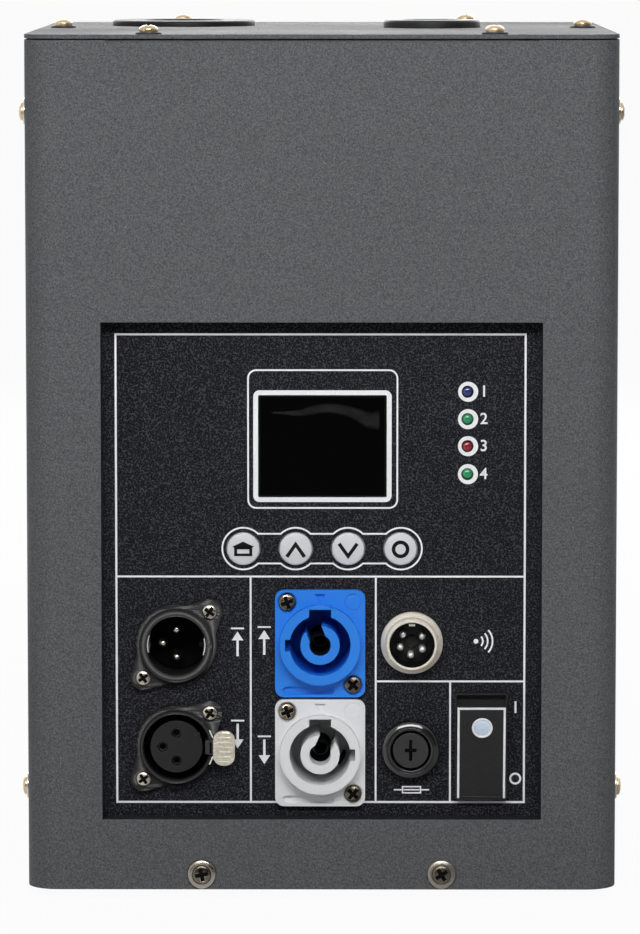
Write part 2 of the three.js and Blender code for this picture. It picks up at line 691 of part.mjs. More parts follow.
function rearPanel() {
  const half = INNER_HALF_WIDTH - SEAT_GAP;
  const flangeFront = REAR - REAR_FLANGE;
  const outer = block(bothSides(half), [flangeFront, REAR], [FLOOR, TAB_TOP]);
  const hollow = block(
    bothSides(half - SHEET),
    [flangeFront - OVERRUN, REAR - SHEET],
    [FLOOR - OVERRUN, TAB_TOP - SHEET],
  );
  const baseRoom = block(
    bothSides(half + OVERRUN),
    [flangeFront - OVERRUN, REAR - SHEET],
    [FLOOR - OVERRUN, FLOOR + BASE_FLANGE + SEAT_GAP],
  );
  const lidHoles = lidScrews.map((place) => rod('z', SCREW_HOLE, [TAB_TOP - TAB_REACH, TOP], place, SMALL_SIDES));
  const sheet = [REAR - SHEET - OVERRUN, REAR + OVERRUN];
  const fanHoles = fanScrews.map((place) => rod('y', FAN_SCREW_RADIUS + SEAT_GAP, sheet, place, SMALL_SIDES));
  return cut(outer, hollow, baseRoom, ...lidHoles, ...fanHoles, ...rearVents(), ...fingerGuard());
}

function rearVents() {
  const vents = [];
  for (let i = 0; i < REAR_VENT_COUNT; i += 1) {
    const z = FLOOR + REAR_VENT_LIFT + i * REAR_VENT_PITCH;
    const outline = roundedRectangle(REAR_VENT_WIDTH, REAR_VENT_HEIGHT, REAR_VENT_HEIGHT / 2, [REAR_VENT_X, z]);
    vents.push(raised('y', outline, [REAR - SHEET - OVERRUN, REAR + OVERRUN], END_STEPS));
  }
  return vents;
}

// Ring slots in front of the fan, each broken by bridges at the spokes
function fingerGuard() {
  const slots = [];
  for (let ring = 0; ring < GUARD_RING_COUNT; ring += 1) {
    const inner = GUARD_INNER_RADIUS + ring * GUARD_RING_PITCH;
    const outer = inner + GUARD_SLOT_WIDTH;
    const margin = GUARD_BRIDGE / (inner + outer);
    for (let spoke = 0; spoke < GUARD_SPOKES; spoke += 1) {
      const start = ((spoke + 0.5) / GUARD_SPOKES) * 2 * Math.PI + margin;
      const end = ((spoke + 1.5) / GUARD_SPOKES) * 2 * Math.PI - margin;
      const slot = new THREE.Shape();
      slot.absarc(FAN_X, FLOOR + FAN_LIFT, outer, start, end, false);
      slot.absarc(FAN_X, FLOOR + FAN_LIFT, inner, end, start, true);
      slots.push(raised('y', slot, [REAR - SHEET - OVERRUN, REAR + OVERRUN], CORNER_STEPS));
    }
  }
  return slots;
}

function controlPanel() {
  const wallFront = FRONT + SHEET + SEAT_GAP;
  const middle = OPENING_LOW + OPENING_HEIGHT / 2;
  const wallWidth = OPENING_WIDTH + 2 * SHEET;
  const wallHeight = OPENING_HEIGHT + 2 * SHEET;
  const tray = raised('y', rectangle(wallWidth, wallHeight, [0, middle]), [wallFront, PANEL_BACK]);
  const flangeOutline = rectangle(wallWidth + 2 * PANEL_FLANGE, wallHeight + 2 * PANEL_FLANGE, [0, middle]);
  const flange = raised('y', flangeOutline, [wallFront, wallFront + SHEET]);
  const holes = [
    raised('y', rectangle(WINDOW_WIDTH, WINDOW_HEIGHT, [WINDOW_X, OPENING_LOW + WINDOW_LIFT]), panelThrough),
    ...buttonPlaces.map((place) => rod('y', BUTTON_RADIUS + SEAT_GAP, panelThrough, place)),
    ...lampPlaces.map((place) => rod('y', LAMP_RADIUS + SEAT_GAP, panelThrough, place, SMALL_SIDES)),
    ...[dataIn, dataOut].map((place) => rod('y', DATA_COLLAR_RADIUS + SEAT_GAP, panelThrough, place)),
    ...[powerIn, powerOut].map((place) => rod('y', POWER_COLLAR_RADIUS + SEAT_GAP, panelThrough, place)),
    rod('y', REMOTE_BARREL_RADIUS + SEAT_GAP, panelThrough, remoteIn),
    rod('y', FUSE_TUBE_RADIUS + SEAT_GAP, panelThrough, fuse),
    raised('y', rectangle(SWITCH_BODY_WIDTH + 2 * SEAT_GAP, SWITCH_BODY_HEIGHT + 2 * SEAT_GAP, powerSwitch), panelThrough),
  ];
  const room = raised('z', cabinetOutline(SHEET + SEAT_GAP, SHEET), [FLOOR, WALL_TOP], WIDE_STEPS);
  return cut(join(tray, flange), panelHollow(), ...holes).intersect(room);
}

const panelThrough = [PANEL_FRONT - OVERRUN, PANEL_BACK + OVERRUN];

// Room in front of the panel, with a soft bend where the side walls meet the floor, drawn in X and Y
function panelHollow() {
  const half = OPENING_WIDTH / 2;
  const turn = PANEL_FRONT - PANEL_BEND;
  const outline = new THREE.Shape();
  outline.moveTo(-half, FRONT - OVERRUN);
  outline.lineTo(half, FRONT - OVERRUN);
  outline.absarc(half - PANEL_BEND, turn, PANEL_BEND, 0, Math.PI / 2);
  outline.absarc(PANEL_BEND - half, turn, PANEL_BEND, Math.PI / 2, Math.PI);
  return raised('z', outline, [OPENING_LOW, OPENING_LOW + OPENING_HEIGHT]);
}

function feet() {
  const inset = [BODY_WIDTH / 2 - FOOT_INSET, FOOT_INSET];
  const places = bothSides(inset[0]).flatMap((x) => [[x, FRONT + inset[1]], [x, REAR - inset[1]]]);
  const profile = [
    [0, 0],
    [FOOT_RADIUS - FOOT_TAPER, 0],
    [FOOT_RADIUS, FOOT_HEIGHT],
    [0, FOOT_HEIGHT],
  ];
  places.forEach((place, i) => addPart(`foot_${i + 1}`, turned('z', profile, place, SMALL_SIDES), 'rubber'));
}

// Pan-head screw with a washer, standing on a face, its profile measured from that face
function panScrew(washerRadius, washerDepth, headHeight) {
  const shoulderShare = 0.55;
  const crownShare = 0.6;
  return [
    [0, -SHANK_LENGTH],
    [SHANK_RADIUS, -SHANK_LENGTH],
    [SHANK_RADIUS, 0],
    [washerRadius, 0],
    [washerRadius, washerDepth],
    [LID_HEAD_RADIUS, washerDepth],
    [LID_HEAD_RADIUS, washerDepth + shoulderShare * headHeight],
    [crownShare * LID_HEAD_RADIUS, washerDepth + headHeight],
    [0, washerDepth + headHeight],
  ];
}

// Profile turned end for end and moved along its axis
function placed(profile, origin, direction = 1) {
  return profile.map(([radius, place]) => [radius, origin + direction * place]);
}

function screws() {
  const lid = placed(panScrew(WASHER_RADIUS, WASHER_THICKNESS, LID_HEAD_HEIGHT), TOP);
  lidScrews.forEach((place, i) => addPart(`lid_screw_${i + 1}`, turned('z', lid, place, SMALL_SIDES), 'brass'));
  const side = panScrew(WASHER_RADIUS, WASHER_THICKNESS, SIDE_HEAD_HEIGHT);
  sideScrews.forEach(([sign, z], i) => {
    const profile = placed(side, (sign * BODY_WIDTH) / 2, sign);
    const made = turned('x', profile, [FRONT + SIDE_SCREW_BACK, z], SMALL_SIDES);
    addPart(`side_screw_${i + 1}`, made, 'nickel');
  });
  const base = placed(panScrew(CUP_RADIUS, CUP_HEIGHT, CUP_HEAD_HEIGHT), FRONT, -1);
  baseScrews.forEach((place, i) => addPart(`base_screw_${i + 1}`, turned('y', base, place, SMALL_SIDES), 'nickel'));
}

// Display, lamps and buttons
function displayModule() {
  const back = PANEL_BACK + SEAT_GAP;
  const centre = [WINDOW_X, OPENING_LOW + WINDOW_LIFT];
  const glass = rectangle(WINDOW_WIDTH - 2 * SEAT_GAP, WINDOW_HEIGHT - 2 * SEAT_GAP, centre);
  const body = rectangle(WINDOW_WIDTH + 2 * MODULE_BORDER, WINDOW_HEIGHT + 2 * MODULE_BORDER, centre);
  const header = block(
    [WINDOW_X - HEADER_WIDTH / 2, WINDOW_X + HEADER_WIDTH / 2],
    [back, BOARD_FRONT - SEAT_GAP],
    [centre[1] - HEADER_HEIGHT / 2, centre[1] + HEADER_HEIGHT / 2],
  );
  return join(
    raised('y', glass, [PANEL_FRONT + GLASS_SINK, back + MODULE_DEPTH]),
    raised('y', body, [back, back + MODULE_DEPTH]),
    header,
  );
}

function displayBoard() {
  const low = OPENING_LOW + BOARD_LOW;
  const high = OPENING_LOW + BOARD_HIGH;
  const back = BOARD_FRONT + BOARD_THICKNESS;
  const board = block([BOARD_LEFT, BOARD_RIGHT], [BOARD_FRONT, back], [low, high]);
  const columns = [BOARD_LEFT + BOARD_POST_INSET, BOARD_RIGHT - BOARD_POST_INSET];
  const rows = [low + BOARD_POST_INSET, high - BOARD_POST_INSET];
  const posts = columns.flatMap((x) => rows.map((z) => rod('y', BOARD_POST_RADIUS, [PANEL_BACK, back], [x, z], SMALL_SIDES)));
  const tacts = buttonPlaces.map(([x, z]) => block(
    [x - TACT_WIDTH / 2, x + TACT_WIDTH / 2],
    [BOARD_FRONT - TACT_DEPTH, back],
    [z - TACT_WIDTH / 2, z + TACT_WIDTH / 2],
  ));
  const middle = (low + high) / 2;
  const socket = block(
    [LAMP_X - BOARD_SOCKET_WIDTH, LAMP_X],
    [BOARD_FRONT, back + BOARD_SOCKET_DEPTH],
    [middle - BOARD_SOCKET_HEIGHT / 2, middle + BOARD_SOCKET_HEIGHT / 2],
  );
  return join(board, ...posts, ...tacts, socket);
}

function buttons() {
  const collarFront = PANEL_BACK + SEAT_GAP;
  const collarBack = collarFront + BUTTON_COLLAR_DEPTH;
  const stemEnd = BOARD_FRONT - TACT_DEPTH - SEAT_GAP - BUTTON_TRAVEL;
  const face = PANEL_FRONT - BUTTON_PROUD;
  const crownShare = 0.62;
  const profile = [
    [0, face],
    [crownShare * BUTTON_RADIUS, face + BUTTON_CROWN / 4],
    [BUTTON_RADIUS - BUTTON_CROWN / 2, face + BUTTON_CROWN],
    [BUTTON_RADIUS, face + 2 * BUTTON_CROWN],
    [BUTTON_RADIUS, collarFront],
    [BUTTON_RADIUS + BUTTON_COLLAR, collarFront],
    [BUTTON_RADIUS + BUTTON_COLLAR, collarBack],
    [BUTTON_STEM_RADIUS, collarBack],
    [BUTTON_STEM_RADIUS, stemEnd],
    [0, stemEnd],
  ];
  buttonPlaces.forEach((place, i) => addPart(buttonNames[i], turned('y', profile, place), 'keycap'));
}

function lamps() {
  const collarFront = PANEL_BACK + SEAT_GAP;
  const collarBack = collarFront + LAMP_COLLAR_DEPTH;
  const legEnd = BOARD_FRONT - SEAT_GAP;
  const tip = PANEL_FRONT - LAMP_PROUD;
  const domeShare = 0.7;
  const profile = [
    [0, tip],
    [domeShare * LAMP_RADIUS, tip + LAMP_DOME / 3],
    [LAMP_RADIUS, tip + LAMP_DOME],
    [LAMP_RADIUS, collarFront],
    [LAMP_RADIUS + LAMP_COLLAR, collarFront],
    [LAMP_RADIUS + LAMP_COLLAR, collarBack],
    [LAMP_LEG_RADIUS, collarBack],
    [LAMP_LEG_RADIUS, legEnd],
    [0, legEnd],
  ];
  lampPlaces.forEach((place, i) => addPart(lampNames[i], turned('y', profile, place, SMALL_SIDES), lampFinishes[i]));
}

// Data sockets: a round flange with two screw ears, a collar in front and a barrel behind the panel
function dataShell([x, z], boreRadius) {
  const flangeFront = PANEL_FRONT - DATA_FLANGE_DEPTH;
  const collarFront = PANEL_FRONT - DATA_FLANGE_DEPTH - DATA_COLLAR_PROUD;
  const end = PANEL_BACK + DATA_LENGTH;
  const disc = rod('y', DATA_FLANGE_RADIUS, [flangeFront, PANEL_FRONT], [x, z]);
  const ears = bothSides(DATA_EAR_OFFSET).map((offset) => {
    const ear = rod('y', DATA_EAR_RADIUS, [flangeFront, PANEL_FRONT], [x + offset, z + offset], SMALL_SIDES);
    return cut(ear, rod('y', SCREW_HOLE, [flangeFront - OVERRUN, PANEL_FRONT + OVERRUN], [x + offset, z + offset], SMALL_SIDES));
  });
  const collar = rod('y', DATA_COLLAR_RADIUS, [collarFront, end], [x, z]);
  return cut(join(disc, ...ears, collar), rod('y', boreRadius, [collarFront - OVERRUN, end + OVERRUN], [x, z]));
}

// Contacts on the three free quarters of their circle, the key's quarter left out
function contactPlaces([x, z]) {
  return [1, 2, 3].map((quarter) => {
    const angle = (quarter * Math.PI) / 2;
    return [x + DATA_PIN_CIRCLE * Math.cos(angle), z + DATA_PIN_CIRCLE * Math.sin(angle)];
  });
}

function dataInInsert() {
  const front = PANEL_FRONT - DATA_FLANGE_DEPTH - DATA_COLLAR_PROUD + DATA_IN_SINK;
  const back = front + DATA_INSERT_DEPTH;
  const disc = rod('y', DATA_BORE_RADIUS - SEAT_GAP, [front, back], dataIn);
  const pins = contactPlaces(dataIn).map((place) => (
    rod('y', DATA_PIN_RADIUS, [front - DATA_PIN_LENGTH, back + DATA_TAIL_LENGTH], place, SMALL_SIDES)
  ));
  return join(disc, ...pins);
}

function dataOutInsert() {
  const front = PANEL_FRONT - DATA_FLANGE_DEPTH - DATA_COLLAR_PROUD + DATA_PLUG_SINK;
  const seat = PANEL_BACK + DATA_LENGTH - DATA_INSERT_DEPTH;
  const end = PANEL_BACK + DATA_LENGTH;
  const plug = rod('y', DATA_PLUG_RADIUS, [front, end], dataOut);
  const rim = rod('y', DATA_OUT_BORE_RADIUS - SEAT_GAP, [seat, end], dataOut);
  const contacts = contactPlaces(dataOut).map((place) => (
    rod('y', DATA_CONTACT_RADIUS, [front - OVERRUN, front + DATA_CONTACT_DEPTH], place, SMALL_SIDES)
  ));
  const tails = contactPlaces(dataOut).map((place) => (
    rod('y', DATA_PIN_RADIUS, [seat, end + DATA_TAIL_LENGTH], place, SMALL_SIDES)
  ));
  return cut(join(plug, rim, ...tails), ...contacts);
}

// Slot in the barrel's right wall that the release tab's stem slides in
function latchRoom() {
  const [x, z] = dataOut;
  const half = LATCH_STEM_HEIGHT / 2 + SEAT_GAP;
  const outer = x + DATA_COLLAR_RADIUS;
  return block(
    [outer - LATCH_STEM_WIDTH - 2 * SEAT_GAP, outer + OVERRUN],
    [FRONT, PANEL_BACK + DATA_LENGTH + OVERRUN],
    [z - half, z + half],
  );
}

function dataLatch() {
  const [x, z] = dataOut;
  const outer = x + DATA_COLLAR_RADIUS;
  const tabBack = PANEL_FRONT - DATA_FLANGE_DEPTH - LATCH_TRAVEL - SEAT_GAP;
  const tabFront = tabBack - LATCH_DEPTH;
  const centre = [outer + LATCH_WIDTH / 2, z];
  const corner = LATCH_WIDTH / 2 - SEAT_GAP;
  const tab = raised('y', roundedRectangle(LATCH_WIDTH, LATCH_HEIGHT, corner, centre), [tabFront, tabBack]);
  const level = [z - LATCH_STEM_HEIGHT / 2, z + LATCH_STEM_HEIGHT / 2];
  const inside = outer - SEAT_GAP;
  const neck = block([inside - LATCH_OVERLAP, outer + LATCH_OVERLAP], [tabFront, tabBack], level);
  const stem = block([inside - LATCH_STEM_WIDTH, inside], [tabFront, tabFront + LATCH_STEM_LENGTH], level);
  return join(tab, neck, stem);
}

// Power sockets: a square flange, a round collar, and a bore with key notches round a hollow core
function powerSocket([x, z], sideKey, coreGapAngle) {
  const flangeFront = PANEL_FRONT - POWER_FLANGE_DEPTH;
  const rim = flangeFront - POWER_COLLAR_PROUD;
  const end = PANEL_BACK + POWER_LENGTH;
  const floor = rim + POWER_BORE_DEPTH;
  const coreFront = rim + POWER_CORE_SINK;
  const flange = raised(
    'y',
    roundedRectangle(POWER_FLANGE_WIDTH, POWER_FLANGE_HEIGHT, POWER_FLANGE_CORNER, [x, z]),
    [flangeFront, PANEL_FRONT],
  );
  const barrel = rod('y', POWER_COLLAR_RADIUS, [rim, end], [x, z]);
  const bore = rod('y', POWER_BORE_RADIUS, [rim - OVERRUN, floor], [x, z]);
  const topKey = block(
    [x - POWER_KEY_WIDTH / 2, x + POWER_KEY_WIDTH / 2],
    [rim - OVERRUN, floor],
    [z, z + POWER_KEY_REACH],
  );
  const reach = [x, x + sideKey * POWER_SIDE_KEY_REACH];
  const sideNotch = block(
    [Math.min(...reach), Math.max(...reach)],
    [rim - OVERRUN, floor],
    [z - POWER_SIDE_KEY_WIDTH / 2, z + POWER_SIDE_KEY_WIDTH / 2],
  );
  const core = rod('y', POWER_CORE_RADIUS, [coreFront, floor + OVERRUN], [x, z]);
  const coreHole = rod('y', POWER_CORE_HOLE, [coreFront - OVERRUN, floor], [x, z], SMALL_SIDES);
  const gapTool = new THREE.BoxGeometry(POWER_CORE_RADIUS + OVERRUN, floor - coreFront + OVERRUN, POWER_CORE_GAP_WIDTH);
  gapTool.translate((POWER_CORE_RADIUS + OVERRUN) / 2, (floor + coreFront - OVERRUN) / 2, 0);
  gapTool.rotateY(-coreGapAngle).translate(x, 0, z);
  const hollow = cut(join(flange, barrel), bore, topKey, sideNotch);
  return cut(join(hollow, core), coreHole, solid(gapTool));
}

function remoteSocket() {
  const flangeFront = PANEL_FRONT - REMOTE_FLANGE_DEPTH;
  const rim = flangeFront - REMOTE_BARREL_PROUD;
  const end = PANEL_BACK + REMOTE_LENGTH;
  const bevel = REMOTE_FLANGE_DEPTH / 4;
  const profile = [
    [REMOTE_BORE_RADIUS, rim],
    [REMOTE_BARREL_RADIUS - bevel, rim],
    [REMOTE_BARREL_RADIUS, rim + bevel],
    [REMOTE_BARREL_RADIUS, flangeFront],
    [REMOTE_FLANGE_RADIUS - bevel, flangeFront],
    [REMOTE_FLANGE_RADIUS, flangeFront + bevel],
    [REMOTE_FLANGE_RADIUS, PANEL_FRONT],
    [REMOTE_BARREL_RADIUS, PANEL_FRONT],
    [REMOTE_BARREL_RADIUS, end],
    [REMOTE_BORE_RADIUS, end],
  ];
  return turned('y', profile, remoteIn);
}

function remoteInsert() {
  const rim = PANEL_FRONT - REMOTE_FLANGE_DEPTH - REMOTE_BARREL_PROUD;
  const front = rim + REMOTE_INSERT_SINK;
  const back = front + REMOTE_INSERT_DEPTH;
  const [x, z] = remoteIn;
  const disc = rod('y', REMOTE_BORE_RADIUS - SEAT_GAP, [front, back], remoteIn);
  const pins = [];
  for (let i = 0; i < REMOTE_PIN_COUNT; i += 1) {
    const angle = -Math.PI / 2 + (i - (REMOTE_PIN_COUNT - 1) / 2) * REMOTE_PIN_PITCH;
    const place = [x + REMOTE_PIN_CIRCLE * Math.cos(angle), z + REMOTE_PIN_CIRCLE * Math.sin(angle)];
    pins.push(rod('y', REMOTE_PIN_RADIUS, [front - REMOTE_PIN_LENGTH, back + REMOTE_TAIL_LENGTH], place, SMALL_SIDES));
  }
  return join(disc, ...pins);
}

// Fuse holder, cap and fuse
const fuseRim = PANEL_FRONT - FUSE_BEZEL_PROUD;
const fuseCapFront = fuseRim + FUSE_CAP_SINK;
const fuseCapBack = fuseCapFront + FUSE_CAP_LENGTH;
const fuseLinkFront = fuseCapBack - FUSE_GRIP_DEPTH + SEAT_GAP;
const fuseLinkBack = fuseLinkFront + FUSE_GLASS_LENGTH;

function fuseHolder() {
  const end = PANEL_BACK + FUSE_TUBE_LENGTH;
  const throat = FUSE_GLASS_RADIUS + 2 * SEAT_GAP;
  const step = fuseCapBack + SEAT_GAP;
  const edge = FUSE_BEZEL_RADIUS - FUSE_BEZEL_TOP_RADIUS;
  const profile = [
    [FUSE_BORE_RADIUS, fuseRim],
    [FUSE_BEZEL_TOP_RADIUS, fuseRim],
    [FUSE_BEZEL_RADIUS - edge / 4, PANEL_FRONT - FUSE_BEZEL_PROUD / 2],
    [FUSE_BEZEL_RADIUS, PANEL_FRONT],
    [FUSE_TUBE_RADIUS, PANEL_FRONT],
    [FUSE_TUBE_RADIUS, end],
    [0, end],
    [0, fuseLinkBack + SEAT_GAP],
    [throat, fuseLinkBack + SEAT_GAP],
    [throat, step],
    [FUSE_BORE_RADIUS, step],
  ];
  const [x, z] = fuse;
  const tail = block(
    [x - FUSE_TAIL_WIDTH / 2, x + FUSE_TAIL_WIDTH / 2],
    [end - OVERRUN, end + FUSE_TAIL_LENGTH],
    [z - FUSE_TAIL_THICKNESS / 2, z + FUSE_TAIL_THICKNESS / 2],
  );
  const closed = [...profile.slice(6), ...profile.slice(0, 6)];
  return join(turned('y', closed, fuse), tail);
}

function fuseCap() {
  const [x, z] = fuse;
  const radius = FUSE_BORE_RADIUS - SEAT_GAP;
  const body = rod('y', radius, [fuseCapFront, fuseCapBack], fuse);
  const grip = rod('y', FUSE_GLASS_RADIUS + SEAT_GAP, [fuseCapBack - FUSE_GRIP_DEPTH, fuseCapBack + OVERRUN], fuse, SMALL_SIDES);
  const slotSpan = [fuseCapFront - OVERRUN, fuseCapFront + FUSE_SLOT_DEPTH];
  const upright = block(
    [x - FUSE_SLOT_WIDTH / 2, x + FUSE_SLOT_WIDTH / 2],
    slotSpan,
    [z - FUSE_SLOT_LENGTH / 2, z + FUSE_SLOT_LENGTH / 2],
  );
  const level = block(
    [x - FUSE_SLOT_SHORT / 2, x + FUSE_SLOT_SHORT / 2],
    slotSpan,
    [z - FUSE_SLOT_WIDTH / 2, z + FUSE_SLOT_WIDTH / 2],
  );
  return cut(body, grip, upright, level);
}

// Rocker switch: the frame stands on the panel, the rocker tilts about a pivot behind its face
const rockerPivotY = PANEL_FRONT + ROCKER_PIVOT_SINK;
const wellFloor = PANEL_FRONT + SWITCH_WELL_DEPTH;

function switchBody() {
  const [x, z] = powerSwitch;
  const end = PANEL_BACK + SWITCH_BODY_LENGTH;
  const frame = raised('y', rectangle(SWITCH_FRAME_WIDTH, SWITCH_FRAME_HEIGHT, powerSwitch), [PANEL_FRONT - SWITCH_FRAME_PROUD, PANEL_FRONT]);
  const tub = rectangle(SWITCH_FRAME_WIDTH - 2 * SWITCH_RIM, SWITCH_FRAME_HEIGHT - 2 * SWITCH_RIM, powerSwitch);
  const room = raised('y', tub, [FRONT - OVERRUN, PANEL_FRONT]);
  const body = block(
    [x - SWITCH_BODY_WIDTH / 2, x + SWITCH_BODY_WIDTH / 2],
    [PANEL_FRONT - SWITCH_RIM, end],
    [z - SWITCH_BODY_HEIGHT / 2, z + SWITCH_BODY_HEIGHT / 2],
  );
  const floorPlate = raised('y', rectangle(SWITCH_FRAME_WIDTH, SWITCH_FRAME_HEIGHT, powerSwitch), [PANEL_FRONT - SWITCH_RIM, PANEL_FRONT]);
  const well = block(
    [x - SWITCH_WELL_WIDTH / 2, x + SWITCH_WELL_WIDTH / 2],
    [FRONT - OVERRUN, wellFloor],
    [z - SWITCH_WELL_HEIGHT / 2, z + SWITCH_WELL_HEIGHT / 2],
  );
  const blades = [];
  for (let i = 0; i < SWITCH_BLADE_COUNT; i += 1) {
    const level = z + (i - (SWITCH_BLADE_COUNT - 1) / 2) * SWITCH_BLADE_PITCH;
    blades.push(block(
      [x - SWITCH_BLADE_WIDTH / 2, x + SWITCH_BLADE_WIDTH / 2],
      [end - OVERRUN, end + SWITCH_BLADE_LENGTH],
      [level - SWITCH_BLADE_THICKNESS / 2, level + SWITCH_BLADE_THICKNESS / 2],
    ));
  }
  return cut(join(cut(frame, room), body, floorPlate, ...blades), well);
}

// Rocker drawn upright about its pivot in Y and Z, then tilted so that its lower end is pressed in
function switchRocker() {
  const [x, z] = powerSwitch;
  const half = SWITCH_FRAME_WIDTH / 2 - SWITCH_RIM - SEAT_GAP;
  const paddle = block([-half, half], [-ROCKER_ARM, ROCKER_THICKNESS - ROCKER_ARM], bothSides(ROCKER_HEIGHT / 2));
  const stem = block(
    bothSides(ROCKER_STEM_WIDTH / 2),
    [ROCKER_THICKNESS / 2 - ROCKER_ARM, 0],
    bothSides(ROCKER_STEM_HEIGHT / 2),
  );
  const heel = rod('x', ROCKER_STEM_TAIL, bothSides(ROCKER_STEM_WIDTH / 2), [0, 0], SMALL_SIDES);
  const geometry = geometryOf(join(paddle, stem, heel));
  geometry.rotateX(ROCKER_TILT).translate(x, rockerPivotY, z);
  return solid(geometry);
}

// Spark engine
const chamberTop = TOP - NOZZLE_LENGTH + CHAMBER_SOCKET_DEPTH;
const barrelEnd = FEED_LENGTH - CHAMBER_RADIUS + BARREL_SEAT_DEPTH - SEAT_GAP;

// Bar along the feed direction, measured from under the hopper
function feedRod(radius, [from, to], sides = ROUND_SIDES) {
  const bar = new THREE.CylinderGeometry(radius, radius, to - from, sides);
  bar.rotateZ(Math.PI / 2).translate((from + to) / 2, 0, FEED_Z);
  return solid(bar.rotateZ(FEED_ANGLE).translate(HOPPER_X, HOPPER_Y, 0));
}

function nozzle() {
  const flangeTop = TOP + NOZZLE_FLANGE_DEPTH;
  const mouthDrop = NOZZLE_MOUTH_RADIUS - NOZZLE_BORE;
  const profile = [
    [NOZZLE_BORE, TOP - NOZZLE_LENGTH],
    [NOZZLE_RADIUS, TOP - NOZZLE_LENGTH],
    [NOZZLE_RADIUS, TOP],
    [NOZZLE_FLANGE_RADIUS, TOP],
    [NOZZLE_FLANGE_RADIUS, flangeTop],
    [NOZZLE_BORE + NOZZLE_FLANGE_DEPTH, flangeTop],
    [NOZZLE_BORE, flangeTop - mouthDrop],
  ];
  return turned('z', profile, [NOZZLE_X, NOZZLE_Y]);
}

function heatingChamber() {
  const socket = NOZZLE_RADIUS + SEAT_GAP;
  const socketFloor = TOP - NOZZLE_LENGTH - SEAT_GAP;
  const profile = [
    [NOZZLE_BORE, SHELF_TOP],
    [CHAMBER_FOOT_RADIUS, SHELF_TOP],
    [CHAMBER_FOOT_RADIUS, SHELF_TOP + CHAMBER_FOOT_DEPTH],
    [CHAMBER_RADIUS, SHELF_TOP + CHAMBER_FOOT_DEPTH],
    [CHAMBER_RADIUS, chamberTop],
    [socket, chamberTop],
    [socket, socketFloor],
    [NOZZLE_BORE, socketFloor],
  ];
  const body = turned('z', profile, [NOZZLE_X, NOZZLE_Y]);
  const seat = feedRod(BARREL_RADIUS + SEAT_GAP, [barrelEnd - CHAMBER_RADIUS, barrelEnd + SEAT_GAP]);
  const port = feedRod(BARREL_BORE, [barrelEnd, FEED_LENGTH]);
  return cut(body, seat, port);
}

function heaterJacket() {
  const low = SHELF_TOP + JACKET_LOW;
  const profile = [
    [CHAMBER_RADIUS + SEAT_GAP, low],
    [JACKET_RADIUS, low],
    [JACKET_RADIUS, low + JACKET_HEIGHT],
    [CHAMBER_RADIUS + SEAT_GAP, low + JACKET_HEIGHT],
  ];
  const sleeve = turned('z', profile, [NOZZLE_X, NOZZLE_Y]);
  return cut(sleeve, feedRod(BARREL_RADIUS + SEAT_GAP, [barrelEnd - JACKET_RADIUS, barrelEnd + SEAT_GAP]));
}

// Bridge of bent sheet that carries the chamber over the blower
function engineBracket() {
  const left = SHELF_LEFT_INSET - BODY_WIDTH / 2;
  const right = SHELF_RIGHT;
  const depth = [NOZZLE_Y - SHELF_DEPTH / 2, NOZZLE_Y + SHELF_DEPTH / 2];
  const shelf = block([left, right], depth, [SHELF_TOP - SHEET, SHELF_TOP]);
  const leftLeg = block([left, left + SHEET], depth, [BASE_TOP, SHELF_TOP]);
  const rightLeg = block([right - SHEET, right], depth, [BASE_TOP, SHELF_TOP]);
  const leftFoot = block([left, left + SHELF_FOOT], depth, [BASE_TOP, BASE_TOP + SHEET]);
  const rightFoot = block([right - SHELF_FOOT, right], depth, [BASE_TOP, BASE_TOP + SHEET]);
  const hole = rod('z', NOZZLE_BORE, [SHELF_TOP - SHEET - OVERRUN, SHELF_TOP + OVERRUN], [NOZZLE_X, NOZZLE_Y]);
  return cut(join(shelf, leftLeg, rightLeg, leftFoot, rightFoot), hole);
}

function hopper() {
  const wall = HOPPER_WALL;
  const inner = HOPPER_NECK_RADIUS - wall;
  const flangeTop = LID_UNDERSIDE - SEAT_GAP;
  const spoutEnd = FEED_Z + BARREL_RADIUS + SEAT_GAP;
  const profile = [
    [inner, TOP],
    [HOPPER_NECK_RADIUS, TOP],
    [HOPPER_NECK_RADIUS, flangeTop],
    [HOPPER_FLANGE_RADIUS, flangeTop],
    [HOPPER_FLANGE_RADIUS, flangeTop - wall],
    [HOPPER_NECK_RADIUS, flangeTop - wall],
    [HOPPER_NECK_RADIUS, TOP - HOPPER_NECK_DEPTH],
    [HOPPER_BOWL_RADIUS, TOP - HOPPER_SHOULDER_DEPTH],
    [HOPPER_BOWL_RADIUS, TOP - HOPPER_BOWL_DEPTH],
    [HOPPER_SPOUT_RADIUS, TOP - HOPPER_CONE_DEPTH],
    [HOPPER_SPOUT_RADIUS, spoutEnd],
    [HOPPER_SPOUT_RADIUS - wall, spoutEnd],
    [HOPPER_SPOUT_RADIUS - wall, TOP - HOPPER_CONE_DEPTH],
    [HOPPER_BOWL_RADIUS - wall, TOP - HOPPER_BOWL_DEPTH],
    [HOPPER_BOWL_RADIUS - wall, TOP - HOPPER_SHOULDER_DEPTH - wall],
    [inner, TOP - HOPPER_NECK_DEPTH - wall],
  ];
  return turned('z', profile, [HOPPER_X, HOPPER_Y]);
}

